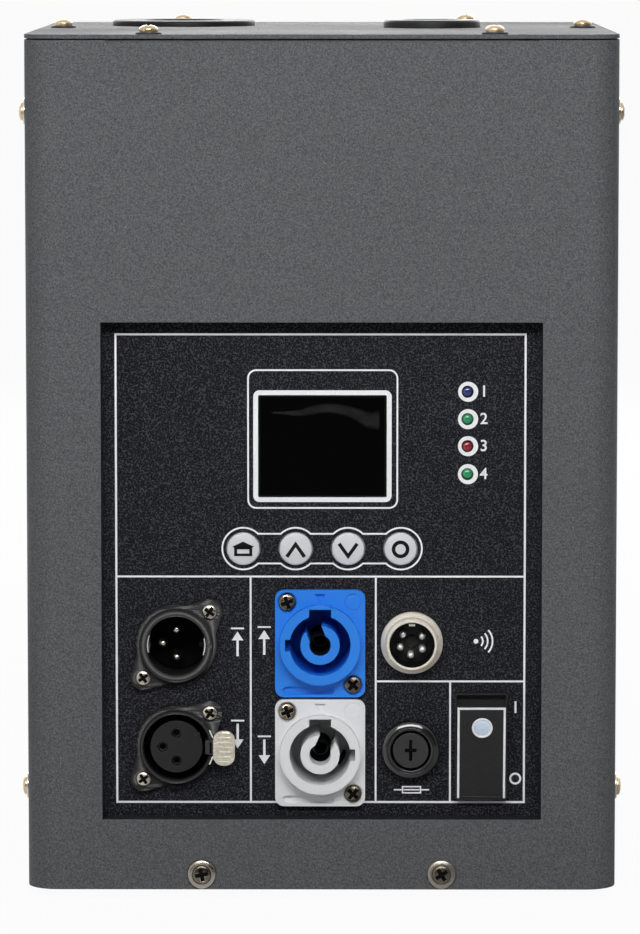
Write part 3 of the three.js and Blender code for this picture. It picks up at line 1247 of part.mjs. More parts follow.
function hopperCap() {
  const plug = HOPPER_NECK_RADIUS - HOPPER_WALL - SEAT_GAP;
  const profile = [
    [0, TOP - CAP_PLUG_LENGTH],
    [plug, TOP - CAP_PLUG_LENGTH],
    [plug, TOP],
    [CAP_RADIUS, TOP],
    [CAP_RADIUS, TOP + CAP_HEIGHT - CAP_EDGE],
    [CAP_RADIUS - CAP_EDGE / 4, TOP + CAP_HEIGHT - CAP_EDGE / 4],
    [CAP_RADIUS - CAP_EDGE, TOP + CAP_HEIGHT],
    [0, TOP + CAP_HEIGHT],
  ];
  return turned('z', profile, [HOPPER_X, HOPPER_Y]);
}

function feedBarrel() {
  const tailEnd = -BARREL_TAIL - BARREL_FLANGE_DEPTH;
  const tube = feedRod(BARREL_RADIUS, [-BARREL_TAIL, barrelEnd]);
  const flange = feedRod(BARREL_FLANGE_RADIUS, [tailEnd, -BARREL_TAIL]);
  const socketRadius = HOPPER_SPOUT_RADIUS + SEAT_GAP + BARREL_SOCKET_WALL;
  const socket = rod('z', socketRadius, [FEED_Z, FEED_Z + BARREL_SOCKET_HEIGHT], [HOPPER_X, HOPPER_Y]);
  const bore = feedRod(BARREL_BORE, [-BARREL_TAIL, barrelEnd + OVERRUN]);
  const shaftHole = feedRod(AUGER_SHAFT_RADIUS + SEAT_GAP, [tailEnd - OVERRUN, 0], SMALL_SIDES);
  const seat = rod(
    'z',
    HOPPER_SPOUT_RADIUS + SEAT_GAP,
    [FEED_Z + BARREL_RADIUS, FEED_Z + BARREL_SOCKET_HEIGHT + OVERRUN],
    [HOPPER_X, HOPPER_Y],
  );
  const drop = rod('z', HOPPER_SPOUT_RADIUS - HOPPER_WALL, [FEED_Z, FEED_Z + BARREL_RADIUS + OVERRUN], [HOPPER_X, HOPPER_Y]);
  return cut(join(tube, flange, socket), bore, shaftHole, seat, drop);
}

// Screw: a shaft with one fin, drawn as a flat section and twisted evenly along its length
function feedAuger() {
  const start = SEAT_GAP - BARREL_TAIL;
  const length = barrelEnd - AUGER_END_GAP - start;
  const fin = AUGER_FIN_ANGLE / 2;
  const section = new THREE.Shape();
  section.absarc(0, 0, AUGER_SHAFT_RADIUS, fin, 2 * Math.PI - fin, false);
  section.absarc(0, 0, AUGER_RADIUS, -fin, fin, false);
  const steps = Math.round((length / AUGER_PITCH) * AUGER_STEPS_PER_TURN);
  const options = { depth: length, steps, bevelEnabled: false, curveSegments: CORNER_STEPS };
  const geometry = new THREE.ExtrudeGeometry(section, options);
  const place = geometry.getAttribute('position');
  const point = new THREE.Vector3();
  for (let i = 0; i < place.count; i += 1) {
    point.fromBufferAttribute(place, i);
    point.applyAxisAngle(new THREE.Vector3(0, 0, 1), (2 * Math.PI * point.z) / AUGER_PITCH);
    place.setXYZ(i, point.x, point.y, point.z);
  }
  alignExtruded(geometry, 'x').translate(start, 0, FEED_Z);
  geometry.rotateZ(FEED_ANGLE).translate(HOPPER_X, HOPPER_Y, 0);
  const tang = feedRod(AUGER_SHAFT_RADIUS, [-BARREL_TAIL - BARREL_FLANGE_DEPTH - AUGER_TANG, start + OVERRUN], SMALL_SIDES);
  return join(solid(geometry), tang);
}

function feedMotor() {
  const face = -BARREL_TAIL - BARREL_FLANGE_DEPTH - SEAT_GAP;
  const middle = face - GEARBOX_LENGTH;
  const end = middle - MOTOR_LENGTH;
  const gearbox = feedRod(GEARBOX_RADIUS, [middle, face]);
  const can = feedRod(MOTOR_RADIUS, [end, middle + OVERRUN]);
  const stub = feedRod(MOTOR_STUB_RADIUS, [end - MOTOR_STUB_LENGTH, end + OVERRUN], SMALL_SIDES);
  const socket = feedRod(AUGER_SHAFT_RADIUS + SEAT_GAP, [face - AUGER_TANG - SEAT_GAP, face + OVERRUN], SMALL_SIDES);
  return cut(join(gearbox, can, stub), socket);
}

// Blower: a flat round housing whose outlet rises on its left side to the shelf under the chamber
const blowerX = NOZZLE_X + BLOWER_RADIUS - BLOWER_DUCT_WIDTH / 2;
const blowerZ = SHELF_TOP - SHEET - SEAT_GAP - BLOWER_DROP;
const blowerFront = NOZZLE_Y - BLOWER_DEPTH / 2;
const blowerBack = NOZZLE_Y + BLOWER_DEPTH / 2;

function blowerOutline(inset, top) {
  const left = blowerX - BLOWER_RADIUS + inset;
  const right = blowerX - BLOWER_RADIUS + BLOWER_DUCT_WIDTH - inset;
  const radius = BLOWER_RADIUS - inset;
  const outline = new THREE.Shape();
  const meet = Math.acos((right - blowerX) / radius);
  outline.moveTo(left, top);
  outline.absarc(blowerX, blowerZ, radius, Math.PI, 2 * Math.PI + meet, false);
  outline.lineTo(right, top);
  return outline;
}

function blowerHousing() {
  const top = SHELF_TOP - SHEET - SEAT_GAP;
  const outer = raised('y', blowerOutline(0, top), [blowerFront, blowerBack], SCROLL_STEPS);
  const inside = [blowerFront + BLOWER_WALL, blowerBack - BLOWER_WALL];
  const hollow = raised('y', blowerOutline(BLOWER_WALL, top + OVERRUN), inside, SCROLL_STEPS);
  const inlet = rod('y', BLOWER_INLET_RADIUS, [inside[1] - OVERRUN, blowerBack + OVERRUN], [blowerX, blowerZ]);
  const boss = rod('y', BLOWER_BOSS_RADIUS, [blowerFront, inside[0] + BLOWER_BOSS_DEPTH], [blowerX, blowerZ], SMALL_SIDES);
  const pin = rod(
    'y',
    BLOWER_PIN_RADIUS,
    [blowerFront, inside[0] + BLOWER_BOSS_DEPTH + BLOWER_PIN_LENGTH],
    [blowerX, blowerZ],
    SMALL_SIDES,
  );
  return join(cut(outer, hollow, inlet), boss, pin);
}

function blowerImpeller() {
  const start = blowerFront + BLOWER_WALL + BLOWER_BOSS_DEPTH + SEAT_GAP;
  const disc = rod('y', IMPELLER_RADIUS, [start, start + IMPELLER_DISC], [blowerX, blowerZ]);
  const hub = rod('y', IMPELLER_HUB_RADIUS, [start, start + IMPELLER_HUB_LENGTH], [blowerX, blowerZ], SMALL_SIDES);
  const hole = rod(
    'y',
    BLOWER_PIN_RADIUS + SEAT_GAP,
    [start - OVERRUN, start + BLOWER_PIN_LENGTH],
    [blowerX, blowerZ],
    SMALL_SIDES,
  );
  const blades = [];
  for (let i = 0; i < IMPELLER_BLADES; i += 1) {
    const blade = new THREE.BoxGeometry(IMPELLER_BLADE_DEPTH, IMPELLER_BLADE_LENGTH, IMPELLER_BLADE_THICKNESS);
    blade.translate(IMPELLER_RADIUS - IMPELLER_BLADE_DEPTH / 2, start + IMPELLER_BLADE_LENGTH / 2, 0);
    blade.rotateY((i * 2 * Math.PI) / IMPELLER_BLADES).translate(blowerX, 0, blowerZ);
    blades.push(solid(blade));
  }
  return cut(join(disc, hub, ...blades), hole);
}

// Cooling fan
const fan = [FAN_X, FLOOR + FAN_LIFT];
const fanBack = REAR - SHEET - SEAT_GAP;
const fanFront = fanBack - FAN_DEPTH;

function fanFrame() {
  const spider = [fanFront, fanFront + FAN_SPIDER_DEPTH];
  const frame = raised('y', roundedRectangle(FAN_SIZE, FAN_SIZE, FAN_CORNER, fan), [fanFront, fanBack]);
  const ring = cut(frame, rod('y', FAN_BORE_RADIUS, [fanFront - OVERRUN, fanBack + OVERRUN], fan));
  const hub = rod('y', FAN_HUB_RADIUS, spider, fan);
  const pin = rod('y', FAN_PIN_RADIUS, [fanFront, spider[1] + FAN_PIN_LENGTH], fan, SMALL_SIDES);
  const struts = [];
  for (let i = 0; i < FAN_STRUT_COUNT; i += 1) {
    const strut = new THREE.BoxGeometry(FAN_BORE_RADIUS, FAN_SPIDER_DEPTH, FAN_STRUT_WIDTH);
    strut.translate(FAN_BORE_RADIUS / 2 + FAN_STRUT_WIDTH / 2, fanFront + FAN_SPIDER_DEPTH / 2, 0);
    strut.rotateY((i * 2 * Math.PI) / FAN_STRUT_COUNT).translate(fan[0], 0, fan[1]);
    struts.push(solid(strut));
  }
  const heads = fanScrews.map((place) =>
    rod('y', FAN_SCREW_RADIUS, [fanBack - FAN_SPIDER_DEPTH, REAR - FAN_SCREW_SINK], place, SMALL_SIDES),
  );
  return join(ring, hub, pin, ...struts, ...heads);
}

function fanRotor() {
  const front = fanFront + FAN_SPIDER_DEPTH + SEAT_GAP;
  const back = fanBack - FAN_HUB_SINK;
  const hub = rod('y', FAN_HUB_RADIUS, [front, back], fan);
  const hole = rod('y', FAN_PIN_RADIUS + SEAT_GAP, [front - OVERRUN, front + FAN_PIN_LENGTH], fan, SMALL_SIDES);
  const tip = FAN_BORE_RADIUS - FAN_TIP_GAP;
  const sweep = rod('y', tip, [front, back], fan);
  const blades = [];
  for (let i = 0; i < FAN_BLADES; i += 1) {
    const blade = new THREE.BoxGeometry(tip, FAN_BLADE_CHORD, FAN_BLADE_THICKNESS);
    blade.rotateX(FAN_BLADE_PITCH).translate(tip / 2 + FAN_HUB_RADIUS / 2, (front + back) / 2, 0);
    blade.rotateY((i * 2 * Math.PI) / FAN_BLADES).translate(fan[0], 0, fan[1]);
    blades.push(solid(blade).intersect(sweep));
  }
  return cut(join(hub, ...blades), hole);
}

// Electronics
function powerSupply() {
  const low = BASE_TOP + SUPPLY_POST;
  const top = low + BOARD_THICKNESS;
  const front = FRONT + SUPPLY_FRONT;
  const back = REAR - SUPPLY_REAR_GAP;
  const board = block([SUPPLY_LEFT, SUPPLY_RIGHT], [front, back], [low, top]);
  const columns = [SUPPLY_LEFT + SUPPLY_POST_INSET, SUPPLY_RIGHT - SUPPLY_POST_INSET];
  const rows = [front + SUPPLY_POST_INSET, back - SUPPLY_POST_INSET];
  const posts = columns.flatMap((x) => rows.map((y) => rod('z', SUPPLY_POST_RADIUS, [BASE_TOP, top], [x, y], SMALL_SIDES)));
  const middle = (SUPPLY_LEFT + SUPPLY_RIGHT) / 2;
  const coreLow = (front + back - TRANSFORMER_SIZE) / 2;
  const transformer = block(
    [middle - TRANSFORMER_SIZE / 2, middle + TRANSFORMER_SIZE / 2],
    [coreLow, coreLow + TRANSFORMER_SIZE],
    [low, top + TRANSFORMER_HEIGHT],
  );
  const capacitors = bothSides(CAPACITOR_PITCH / 2).map((offset) => (
    rod('z', CAPACITOR_RADIUS, [low, top + CAPACITOR_HEIGHT], [middle + offset, back - CAPACITOR_PITCH], SMALL_SIDES)
  ));
  const sink = block(
    [SUPPLY_RIGHT - 2 * HEATSINK_THICKNESS, SUPPLY_RIGHT - HEATSINK_THICKNESS],
    [coreLow, coreLow + TRANSFORMER_SIZE],
    [low, top + HEATSINK_HEIGHT],
  );
  const terminal = block(
    [middle - TRANSFORMER_SIZE / 2, middle + TRANSFORMER_SIZE / 2],
    [front + SUPPLY_POST_INSET, front + SUPPLY_POST_INSET + TERMINAL_DEPTH],
    [low, top + TERMINAL_HEIGHT],
  );
  return join(board, ...posts, transformer, ...capacitors, sink, terminal);
}

function mainBoard() {
  const right = INNER_HALF_WIDTH - SEAT_GAP;
  const boardRight = right - MAIN_POST;
  const face = boardRight - BOARD_THICKNESS;
  const front = FRONT + MAIN_FRONT;
  const back = FRONT + MAIN_BACK;
  const low = FLOOR + MAIN_LOW;
  const high = FLOOR + MAIN_HIGH;
  const board = block([face, boardRight], [front, back], [low, high]);
  const rows = [front + SUPPLY_POST_INSET, back - SUPPLY_POST_INSET];
  const levels = [low + SUPPLY_POST_INSET, high - SUPPLY_POST_INSET];
  const posts = rows.flatMap((y) => levels.map((z) => rod('x', SUPPLY_POST_RADIUS, [face, right], [y, z], SMALL_SIDES)));
  const relays = [];
  for (let i = 0; i < RELAY_COUNT; i += 1) {
    const y = front + SUPPLY_POST_INSET + i * (RELAY_WIDTH + SUPPLY_POST_INSET);
    relays.push(block([face - RELAY_DEPTH, boardRight], [y, y + RELAY_WIDTH], [low + CHIP_SIZE, low + CHIP_SIZE + RELAY_HEIGHT]));
  }
  const middle = (front + back) / 2;
  const chip = block(
    [face - CHIP_DEPTH, boardRight],
    [middle - CHIP_SIZE / 2, middle + CHIP_SIZE / 2],
    [high - 2 * CHIP_SIZE, high - CHIP_SIZE],
  );
  return join(board, ...posts, ...relays, chip);
}

// Assembly
addPart('wrap_shell', wrapShell(), 'housing');
addPart('lid_plate', lidPlate(), 'housing');
addPart('base_plate', basePlate(), 'housing');
addPart('rear_panel', rearPanel(), 'housing');
addPart('control_panel', controlPanel(), 'panel');
feet();
screws();

addPart('display_module', displayModule(), 'glass');
addPart('display_board', displayBoard(), 'board');
buttons();
lamps();
addPart('dmx_in_socket', dataShell(dataIn, DATA_BORE_RADIUS), 'blackPlastic');
addPart('dmx_in_insert', dataInInsert(), 'nickel');
addPart('dmx_out_socket', cut(dataShell(dataOut, DATA_OUT_BORE_RADIUS), latchRoom()), 'blackPlastic');
addPart('dmx_out_insert', dataOutInsert(), 'blackPlastic');
addPart('dmx_out_latch', dataLatch(), 'nickel');
addPart('power_in_socket', powerSocket(powerIn, -1, POWER_IN_GAP_ANGLE), 'bluePlastic');
addPart('power_out_socket', powerSocket(powerOut, 1, POWER_OUT_GAP_ANGLE), 'whitePlastic');
addPart('remote_socket', remoteSocket(), 'nickel');
addPart('remote_insert', remoteInsert(), 'blackPlastic');
addPart('fuse_holder', fuseHolder(), 'blackPlastic');
addPart('fuse_cap', fuseCap(), 'blackPlastic');
addPart('fuse_link', rod('y', FUSE_GLASS_RADIUS, [fuseLinkFront, fuseLinkBack], fuse, SMALL_SIDES), 'fuseGlass');
addPart('switch_body', switchBody(), 'blackPlastic');
addPart('switch_rocker', switchRocker(), 'blackPlastic');

addPart('nozzle', nozzle(), 'blackPlastic');
addPart('heating_chamber', heatingChamber(), 'steel');
addPart('heater_jacket', heaterJacket(), 'insulation');
addPart('engine_bracket', engineBracket(), 'galvanised');
addPart('hopper', hopper(), 'steel');
addPart('hopper_cap', hopperCap(), 'blackPlastic');
addPart('feed_barrel', feedBarrel(), 'steel');
addPart('feed_auger', feedAuger(), 'steel');
addPart('feed_motor', feedMotor(), 'galvanised');
addPart('blower_housing', blowerHousing(), 'blackPlastic');
addPart('blower_impeller', blowerImpeller(), 'blackPlastic');
addPart('fan_frame', fanFrame(), 'blackPlastic');
addPart('fan_rotor', fanRotor(), 'blackPlastic');
addPart('power_supply', powerSupply(), 'board');
addPart('main_board', mainBoard(), 'board');

export default machine;
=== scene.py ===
"""Looks of a cold spark machine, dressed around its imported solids.

Sizes are in millimetres and become metres where a mesh is placed. The front of the machine faces -Y.
"""

import logging
import math
from dataclasses import dataclass, field
from enum import Enum
from typing import Optional, Sequence

import bmesh
import bpy
from mathutils import Matrix, Vector
from mathutils.geometry import tessellate_polygon


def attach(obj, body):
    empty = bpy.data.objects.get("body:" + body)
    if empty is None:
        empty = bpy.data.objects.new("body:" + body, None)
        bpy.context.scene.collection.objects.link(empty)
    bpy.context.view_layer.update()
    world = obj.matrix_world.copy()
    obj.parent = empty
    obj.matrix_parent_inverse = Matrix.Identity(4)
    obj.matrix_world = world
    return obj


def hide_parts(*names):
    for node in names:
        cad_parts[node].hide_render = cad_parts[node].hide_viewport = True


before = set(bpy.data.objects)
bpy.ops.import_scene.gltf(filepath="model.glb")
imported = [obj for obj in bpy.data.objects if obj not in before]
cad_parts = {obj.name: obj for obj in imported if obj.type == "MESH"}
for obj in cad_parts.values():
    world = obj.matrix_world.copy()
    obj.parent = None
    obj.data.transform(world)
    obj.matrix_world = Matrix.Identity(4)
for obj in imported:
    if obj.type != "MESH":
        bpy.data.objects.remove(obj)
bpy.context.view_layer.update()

LOG = logging.getLogger("spark_machine")
MM = 0.001
FRONT_FACE = -89.05
PANEL_FACE = -81.55
REAR_FACE = 90.95
SHELL_FOOT = 3.0
LID_FACE = 249.0
SIDE_FACE = 85.0
SUNK_PRINT = -0.02
"""How far the back of printed paint lies under the face that it is printed on."""
OVERRUN = 0.5
"""How far a cutting shape stands past what it cuts."""
WHITE = (1.0, 1.0, 1.0, 1.0)

Point = tuple[float, float]
Pair = tuple[float, float]
Triple = tuple[float, float, float]
Points = tuple[Point, ...]
Loop = list[Point]
Colour = Triple
Place = Triple
Box = tuple[float, float, float, float, Point]
"""Width, height, low end, high end and middle of a block."""
Tube = tuple[float, float, float, float]
"""Inner radius, outer radius, low end and high end of a tube."""
Socket = bpy.types.NodeSocket
Tree = bpy.types.NodeTree


class Facing(Enum):
    """Which way a piece's own Z axis looks: the rows are its X, Y and Z axes in the machine's frame."""

    FRONT = ((1, 0, 0), (0, 0, 1), (0, -1, 0))
    REAR = ((-1, 0, 0), (0, 0, 1), (0, 1, 0))
    UP = ((1, 0, 0), (0, 1, 0), (0, 0, 1))
    RIGHT = ((0, 1, 0), (0, 0, 1), (1, 0, 0))
    LEFT = ((0, -1, 0), (0, 0, 1), (-1, 0, 0))


def placement(facing: Facing, origin: Sequence[float]) -> Matrix:
    """Returns the matrix that puts a piece drawn in millimetres at its origin, facing one way."""
    turn = Matrix(facing.value).transposed().to_4x4()
    return Matrix.Scale(MM, 4) @ Matrix.Translation(Vector(origin)) @ turn


def on_panel(x: float, lift: float) -> Matrix:
    """Returns the place of a piece on the recessed panel, its lift measured from the shell's lower edge."""
    return placement(Facing.FRONT, (x, PANEL_FACE, SHELL_FOOT + lift))


def turned(degrees: float, axis: str = "Z") -> Matrix:
    """Returns a turn about one axis."""
    return Matrix.Rotation(math.radians(degrees), 4, axis)


def arc(radius: float, start: float, end: float, centre: Point = (0.0, 0.0), steps: int = 12) -> Loop:
    """Returns points along an arc between two angles in degrees."""
    angles = [math.radians(start + (end - start) * i / steps) for i in range(steps + 1)]
    return [(centre[0] + radius * math.cos(a), centre[1] + radius * math.sin(a)) for a in angles]


def circle(radius: float, centre: Point = (0.0, 0.0), steps: int = 48) -> Loop:
    """Returns a closed round outline."""
    return arc(radius, 0.0, 360.0 * (steps - 1) / steps, centre, steps - 1)


def dome(radius: float, height: float, base: float, angles: Sequence[float], inset: float = 0.0) -> Loop:
    """Returns the profile of a dome at the given angles from its top."""
    slopes = map(math.radians, angles)
    return [(inset + radius * math.sin(a), base + height * math.cos(a)) for a in slopes]


def rounded(width: float, height: float, radius: float, centre: Point = (0.0, 0.0), steps: int = 6) -> Loop:
    """Draws a rectangle with round corners, or a plain one where the radius is zero.

    Args:
        width: Its width.
        height: Its height.
        radius: Radius of its corners.
        centre: Its middle.
        steps: Number of sides in each corner.

    Returns:
        Its outline.
    """
    right, high = width / 2 - radius, height / 2 - radius
    outline: Loop = []
    for x, y, start in ((right, high, 0), (-right, high, 90), (-right, -high, 180), (right, -high, 270)):
        corner = (centre[0] + x, centre[1] + y)
        outline += arc(radius, start, start + 90, corner, steps) if radius else [corner]
    return outline


def stroke(points: Sequence[Point], width: float) -> Loop:
    """Draws a line of even width with mitred corners.

    Args:
        points: The points that the line follows.
        width: Its width.

    Returns:
        Its outline.
    """
    left: Loop = []
    right: Loop = []
    last = len(points) - 1
    for i, (x, y) in enumerate(points):
        here, before, after = (Vector(points[k]) for k in (i, max(i - 1, 0), min(i + 1, last)))
        ahead = (after - here).normalized()
        behind = (here - before).normalized() if i else ahead
        along = (behind + (ahead if i < last else behind)).normalized()
        side = Vector((-along.y, along.x))
        reach = width / 2 / max(side.dot(Vector((-behind.y, behind.x))), 0.3)
        left.append((x + side.x * reach, y + side.y * reach))
        right.append((x - side.x * reach, y - side.y * reach))
    return left + right[::-1]


class Shape:
    """A mesh in the making, drawn in millimetres in a piece's own frame."""

    def __init__(self) -> None:
        """Starts an empty mesh."""
        self.mesh = bmesh.new()

    def turn(self, profile: Sequence[Point], steps: int = 64, centre: Point = (0.0, 0.0),
             ring: bool = False) -> "Shape":
        """Adds a body turned about the piece's Z axis.

        Args:
            profile: Radius and height of each point of the outline.
            steps: Number of sides.
            centre: Place of the axis.
            ring: Whether the outline closes on itself, as for a tube.

        Returns:
            The shape itself.
        """
        rings = []
        for radius, height in profile:
            outline = circle(radius, centre, steps) if radius > 1e-6 else [centre]
            rings.append([self.mesh.verts.new((x, y, height)) for x, y in outline])
        for low, high in list(zip(rings, rings[1:])) + ([(rings[-1], rings[0])] if ring else []):
            for i in range(steps):
                j = (i + 1) % steps
                corners = [low[i % len(low)], low[j % len(low)], high[j % len(high)], high[i % len(high)]]
                unique = list(dict.fromkeys(corners))
                if len(unique) > 2:
                    self.mesh.faces.new(unique)
        return self

    def disc(self, radius: float, low: float, high: float, steps: int = 64, centre: Point = (0.0, 0.0)) -> "Shape":
        """Adds a solid round disc that stands between two heights."""
        return self.turn([(0.0, high), (radius, high), (radius, low), (0.0, low)], steps, centre)

    def tube(self, inner: float, outer: float, low: float, high: float, steps: int = 64,
             centre: Point = (0.0, 0.0)) -> "Shape":
        """Adds a plain tube that stands between two heights."""
        return self.turn([(inner, high), (outer, high), (outer, low), (inner, low)], steps, centre, True)

    def plate(self, loops: Sequence[Loop], low: float, high: float) -> "Shape":
        """Adds a flat plate between two heights; the first loop is its edge and the others are holes.

        Args:
            loops: Outline and holes.
            low: Height of the back face.
            high: Height of the front face.

        Returns:
            The shape itself.
        """
        flat = [point for loop in loops for point in loop]
        below, above = ([self.mesh.verts.new((x, y, height)) for x, y in flat] for height in (low, high))
        for corners in tessellate_polygon([[Vector((x, y, 0)) for x, y in loop] for loop in loops]):
            self.mesh.faces.new([above[i] for i in corners])
            self.mesh.faces.new([below[i] for i in reversed(corners)])
        first = 0
        for count in map(len, loops):
            for i in range(count):
                a, b = first + i, first + (i + 1) % count
                self.mesh.faces.new((below[a], below[b], above[b], above[a]))
            first += count
        return self

    def block(self, width: float, height: float, low: float, high: float, centre: Point = (0.0, 0.0)) -> "Shape":
        """Adds a rectangular block that stands between two heights."""
        return self.plate([rounded(width, height, 0, centre)], low, high)

    def moved(self, matrix: Matrix) -> "Shape":
        """Moves everything that the shape holds so far."""
        self.mesh.transform(matrix)
        return self

    def join(self, other: "Shape") -> "Shape":
        """Takes in everything that another shape holds.

        Args:
            other: The shape that is used up.

        Returns:
            The shape itself.
        """
        data = bpy.data.meshes.new("work")
        other.mesh.to_mesh(data)
        other.mesh.free()
        self.mesh.from_mesh(data)
        bpy.data.meshes.remove(data)
        return self

    def tidy(self) -> bmesh.types.BMesh:
        """Returns the mesh with its faces turned outwards."""
        bmesh.ops.recalc_face_normals(self.mesh, faces=self.mesh.faces)
        return self.mesh


def carve(body: Shape, cutter: Shape) -> Shape:
    """Takes the room of one shape out of another.

    Args:
        body: The shape that is cut.
        cutter: The shape that cuts.

    Returns:
        What is left of the body.
    """
    made = []
    for shape in (body, cutter):
        data = bpy.data.meshes.new("work")
        shape.tidy().to_mesh(data)
        shape.mesh.free()
        made.append(bpy.data.objects.new("work", data))
        bpy.context.scene.collection.objects.link(made[-1])
    change = made[0].modifiers.new("cut", "BOOLEAN")
    change.operation = "DIFFERENCE"
    change.solver = "EXACT"
    change.object = made[1]
    bpy.context.view_layer.update()
    result = Shape()
    result.mesh.from_object(made[0], bpy.context.evaluated_depsgraph_get())
    for thing in made:
        data = thing.data
        bpy.data.objects.remove(thing)
        bpy.data.meshes.remove(data)
    return result


class Wiring:
    """Adds nodes to a node tree and connects them."""

    def __init__(self, tree: Tree) -> None:
        """Takes the tree that it works on."""
        self.tree = tree

    def node(self, kind: str, links: dict[object, object], **settings: object) -> bpy.types.Node:
        """Adds a node, sets it up and connects its inputs.

        Args:
            kind: Blender's name of the node type, without its Shader prefix.
            links: Input name or number to a value, or to the output socket that feeds it.
            **settings: Properties of the node.

        Returns:
            The node.
        """
        made = self.tree.nodes.new("ShaderNode" + kind)
        for label, value in settings.items():
            setattr(made, label, value)
        for label, value in links.items():
            if isinstance(value, Socket):
                self.tree.links.new(value, made.inputs[label])
            else:
                made.inputs[label].default_value = value
        return made

    def maths(self, operation: str, *values: object) -> Socket:
        """Returns what an operation makes of one or two values."""
        return self.node("Math", dict(enumerate(values)), operation=operation).outputs[0]

    def span(self, value: Socket, start: float = 0.0, end: float = 1.0, low: float = 0.0, high: float = 1.0,
             **settings: object) -> Socket:
        """Returns a value carried from the range start to end into the range low to high, and held inside it."""
        links = {"Value": value, "From Min": start, "From Max": end, "To Min": low, "To Max": high}
        return self.node("MapRange", links, **settings).outputs[0]

    def noise(self, vector: Socket, scale: object, detail: float, **links: object) -> Socket:
        """Returns plain noise of a given scale and detail."""
        return self.node("TexNoise", {"Vector": vector, "Scale": scale, "Detail": detail, **links}).outputs["Fac"]

    def covered(self, mask: Socket, under: Socket, over: Colour) -> Socket:
        """Returns a colour covered by another one where the mask says.

        Args:
            mask: Share of the upper colour.
            under: The lower colour.
            over: The upper colour.

        Returns:
            The mixed colour.
        """
        blend = self.node("Mix", {}, data_type="RGBA")
        self.tree.links.new(mask, blend.inputs["Factor"])
        self.tree.links.new(under, blend.inputs[6])
        blend.inputs[7].default_value = (*over, 1.0)
        return blend.outputs[2]


class Group(Wiring):
    """A shader node group with named sockets, shared by the materials that use the effect."""

    def __init__(self, name: str, **inputs: float) -> None:
        """Creates the group with its place on the surface and its other inputs.

        Args:
            name: Name of the group.
            **inputs: Socket name, with underscores for spaces, to default value.
        """
        super().__init__(bpy.data.node_groups.new(name, "ShaderNodeTree"))
        self.socket("Vector", "NodeSocketVector")
        for label, value in inputs.items():
            self.socket(label.replace("_", " "), "NodeSocketFloat").default_value = value
        entry = self.tree.nodes.new("NodeGroupInput").outputs
        self.entry = {socket.name: socket for socket in entry if socket.name}
        self.place = self.entry["Vector"]

    def socket(self, label: str, kind: str, way: str = "INPUT") -> bpy.types.NodeTreeInterfaceSocket:
        """Adds a named socket to the group."""
        return self.tree.interface.new_socket(name=label, in_out=way, socket_type=kind)

    def give(self, **results: Socket) -> Tree:
        """Puts out named values.

        Args:
            **results: Name of each value and the socket that holds it.

        Returns:
            The finished group.
        """
        for label in results:
            self.socket(label, "NodeSocketFloat", "OUTPUT")
        leave = self.tree.nodes.new("NodeGroupOutput").inputs
        for label, value in results.items():
            self.tree.links.new(value, leave[label])
        return self.tree


SPECKLE_FINENESS = 1.7
SPECKLE_SPAN = (0.05, 0.75)
WORN_AND_GLINT_SPAN = (0.98, 0.8)
WORN_AND_GLINT_PATCHES = (0.42, 0.62)
UPWARD_SPAN = (0.3, 1.0)
CLOUD_SPAN = (0.3, 0.7)


def grain_group() -> Tree:
    """Draws fine grain, speckles and slow clouding over a surface.

    Returns:
        The group.
    """
    group = Group("surface_grain", Grain_Scale=900.0, Cloud_Scale=12.0, Roughness=0.6)
    scale = group.entry["Grain Scale"]
    fine = group.noise(group.place, scale, 3.0, Roughness=group.entry["Roughness"])
    finer = group.maths("MULTIPLY", scale, SPECKLE_FINENESS)
    cells = group.node("TexVoronoi", {"Vector": group.place, "Scale": finer})
    speckle = group.span(cells.outputs["Distance"], *SPECKLE_SPAN)
    cloud = group.noise(group.place, group.entry["Cloud Scale"], 2.0)
    return group.give(Grain=fine, Speckle=speckle, Cloud=cloud)


def wear_group() -> Tree:
    """Finds edges, where the rounded normal leaves the flat one, to be lightened as worn spots and as painted
    glints.

    Returns:
        The group.
    """
    group = Group("edge_wear_and_glint", Radius=0.0006, Amount=0.5, Patch_Scale=160.0)
    soft = group.node("Bevel", {"Radius": group.entry["Radius"]}, samples=4).outputs[0]
    plain = group.node("NewGeometry", {}).outputs["Normal"]
    alike = group.node("VectorMath", {0: soft, 1: plain}, operation="DOT_PRODUCT").outputs["Value"]
    edge = group.span(alike, *WORN_AND_GLINT_SPAN)
    kept = group.span(group.noise(group.place, group.entry["Patch Scale"], 4.0), *WORN_AND_GLINT_PATCHES)
    worn_and_glint = group.maths("MULTIPLY", edge, kept)
    return group.give(Mask=group.maths("MULTIPLY", worn_and_glint, group.entry["Amount"]))


def dust_group() -> Tree:
    """Lays dust on faces that look up.

    Returns:
        The group.
    """
    group = Group("settled_dust", Amount=0.1, Patch_Scale=40.0)
    normal = group.node("NewGeometry", {}).outputs["Normal"]
    upward = group.span(group.node("SeparateXYZ", {0: normal}).outputs["Z"], *UPWARD_SPAN)
    patches = group.noise(group.place, group.entry["Patch Scale"], 5.0)
    laid = group.maths("MULTIPLY", upward, patches)
    return group.give(Mask=group.maths("MULTIPLY", laid, group.entry["Amount"]))


def brush_group() -> Tree:
    """Draws long fine scratches along one direction.

    Returns:
        The group.
    """
    group = Group("brushed_lines", Scale=400.0, Stretch=0.04)
    along = group.node("CombineXYZ", {"X": group.entry["Stretch"], "Y": 1.0, "Z": 1.0}).outputs[0]
    drawn = group.node("VectorMath", {0: group.place, 1: along}, operation="MULTIPLY").outputs[0]
    return group.give(Lines=group.noise(drawn, group.entry["Scale"], 3.0))


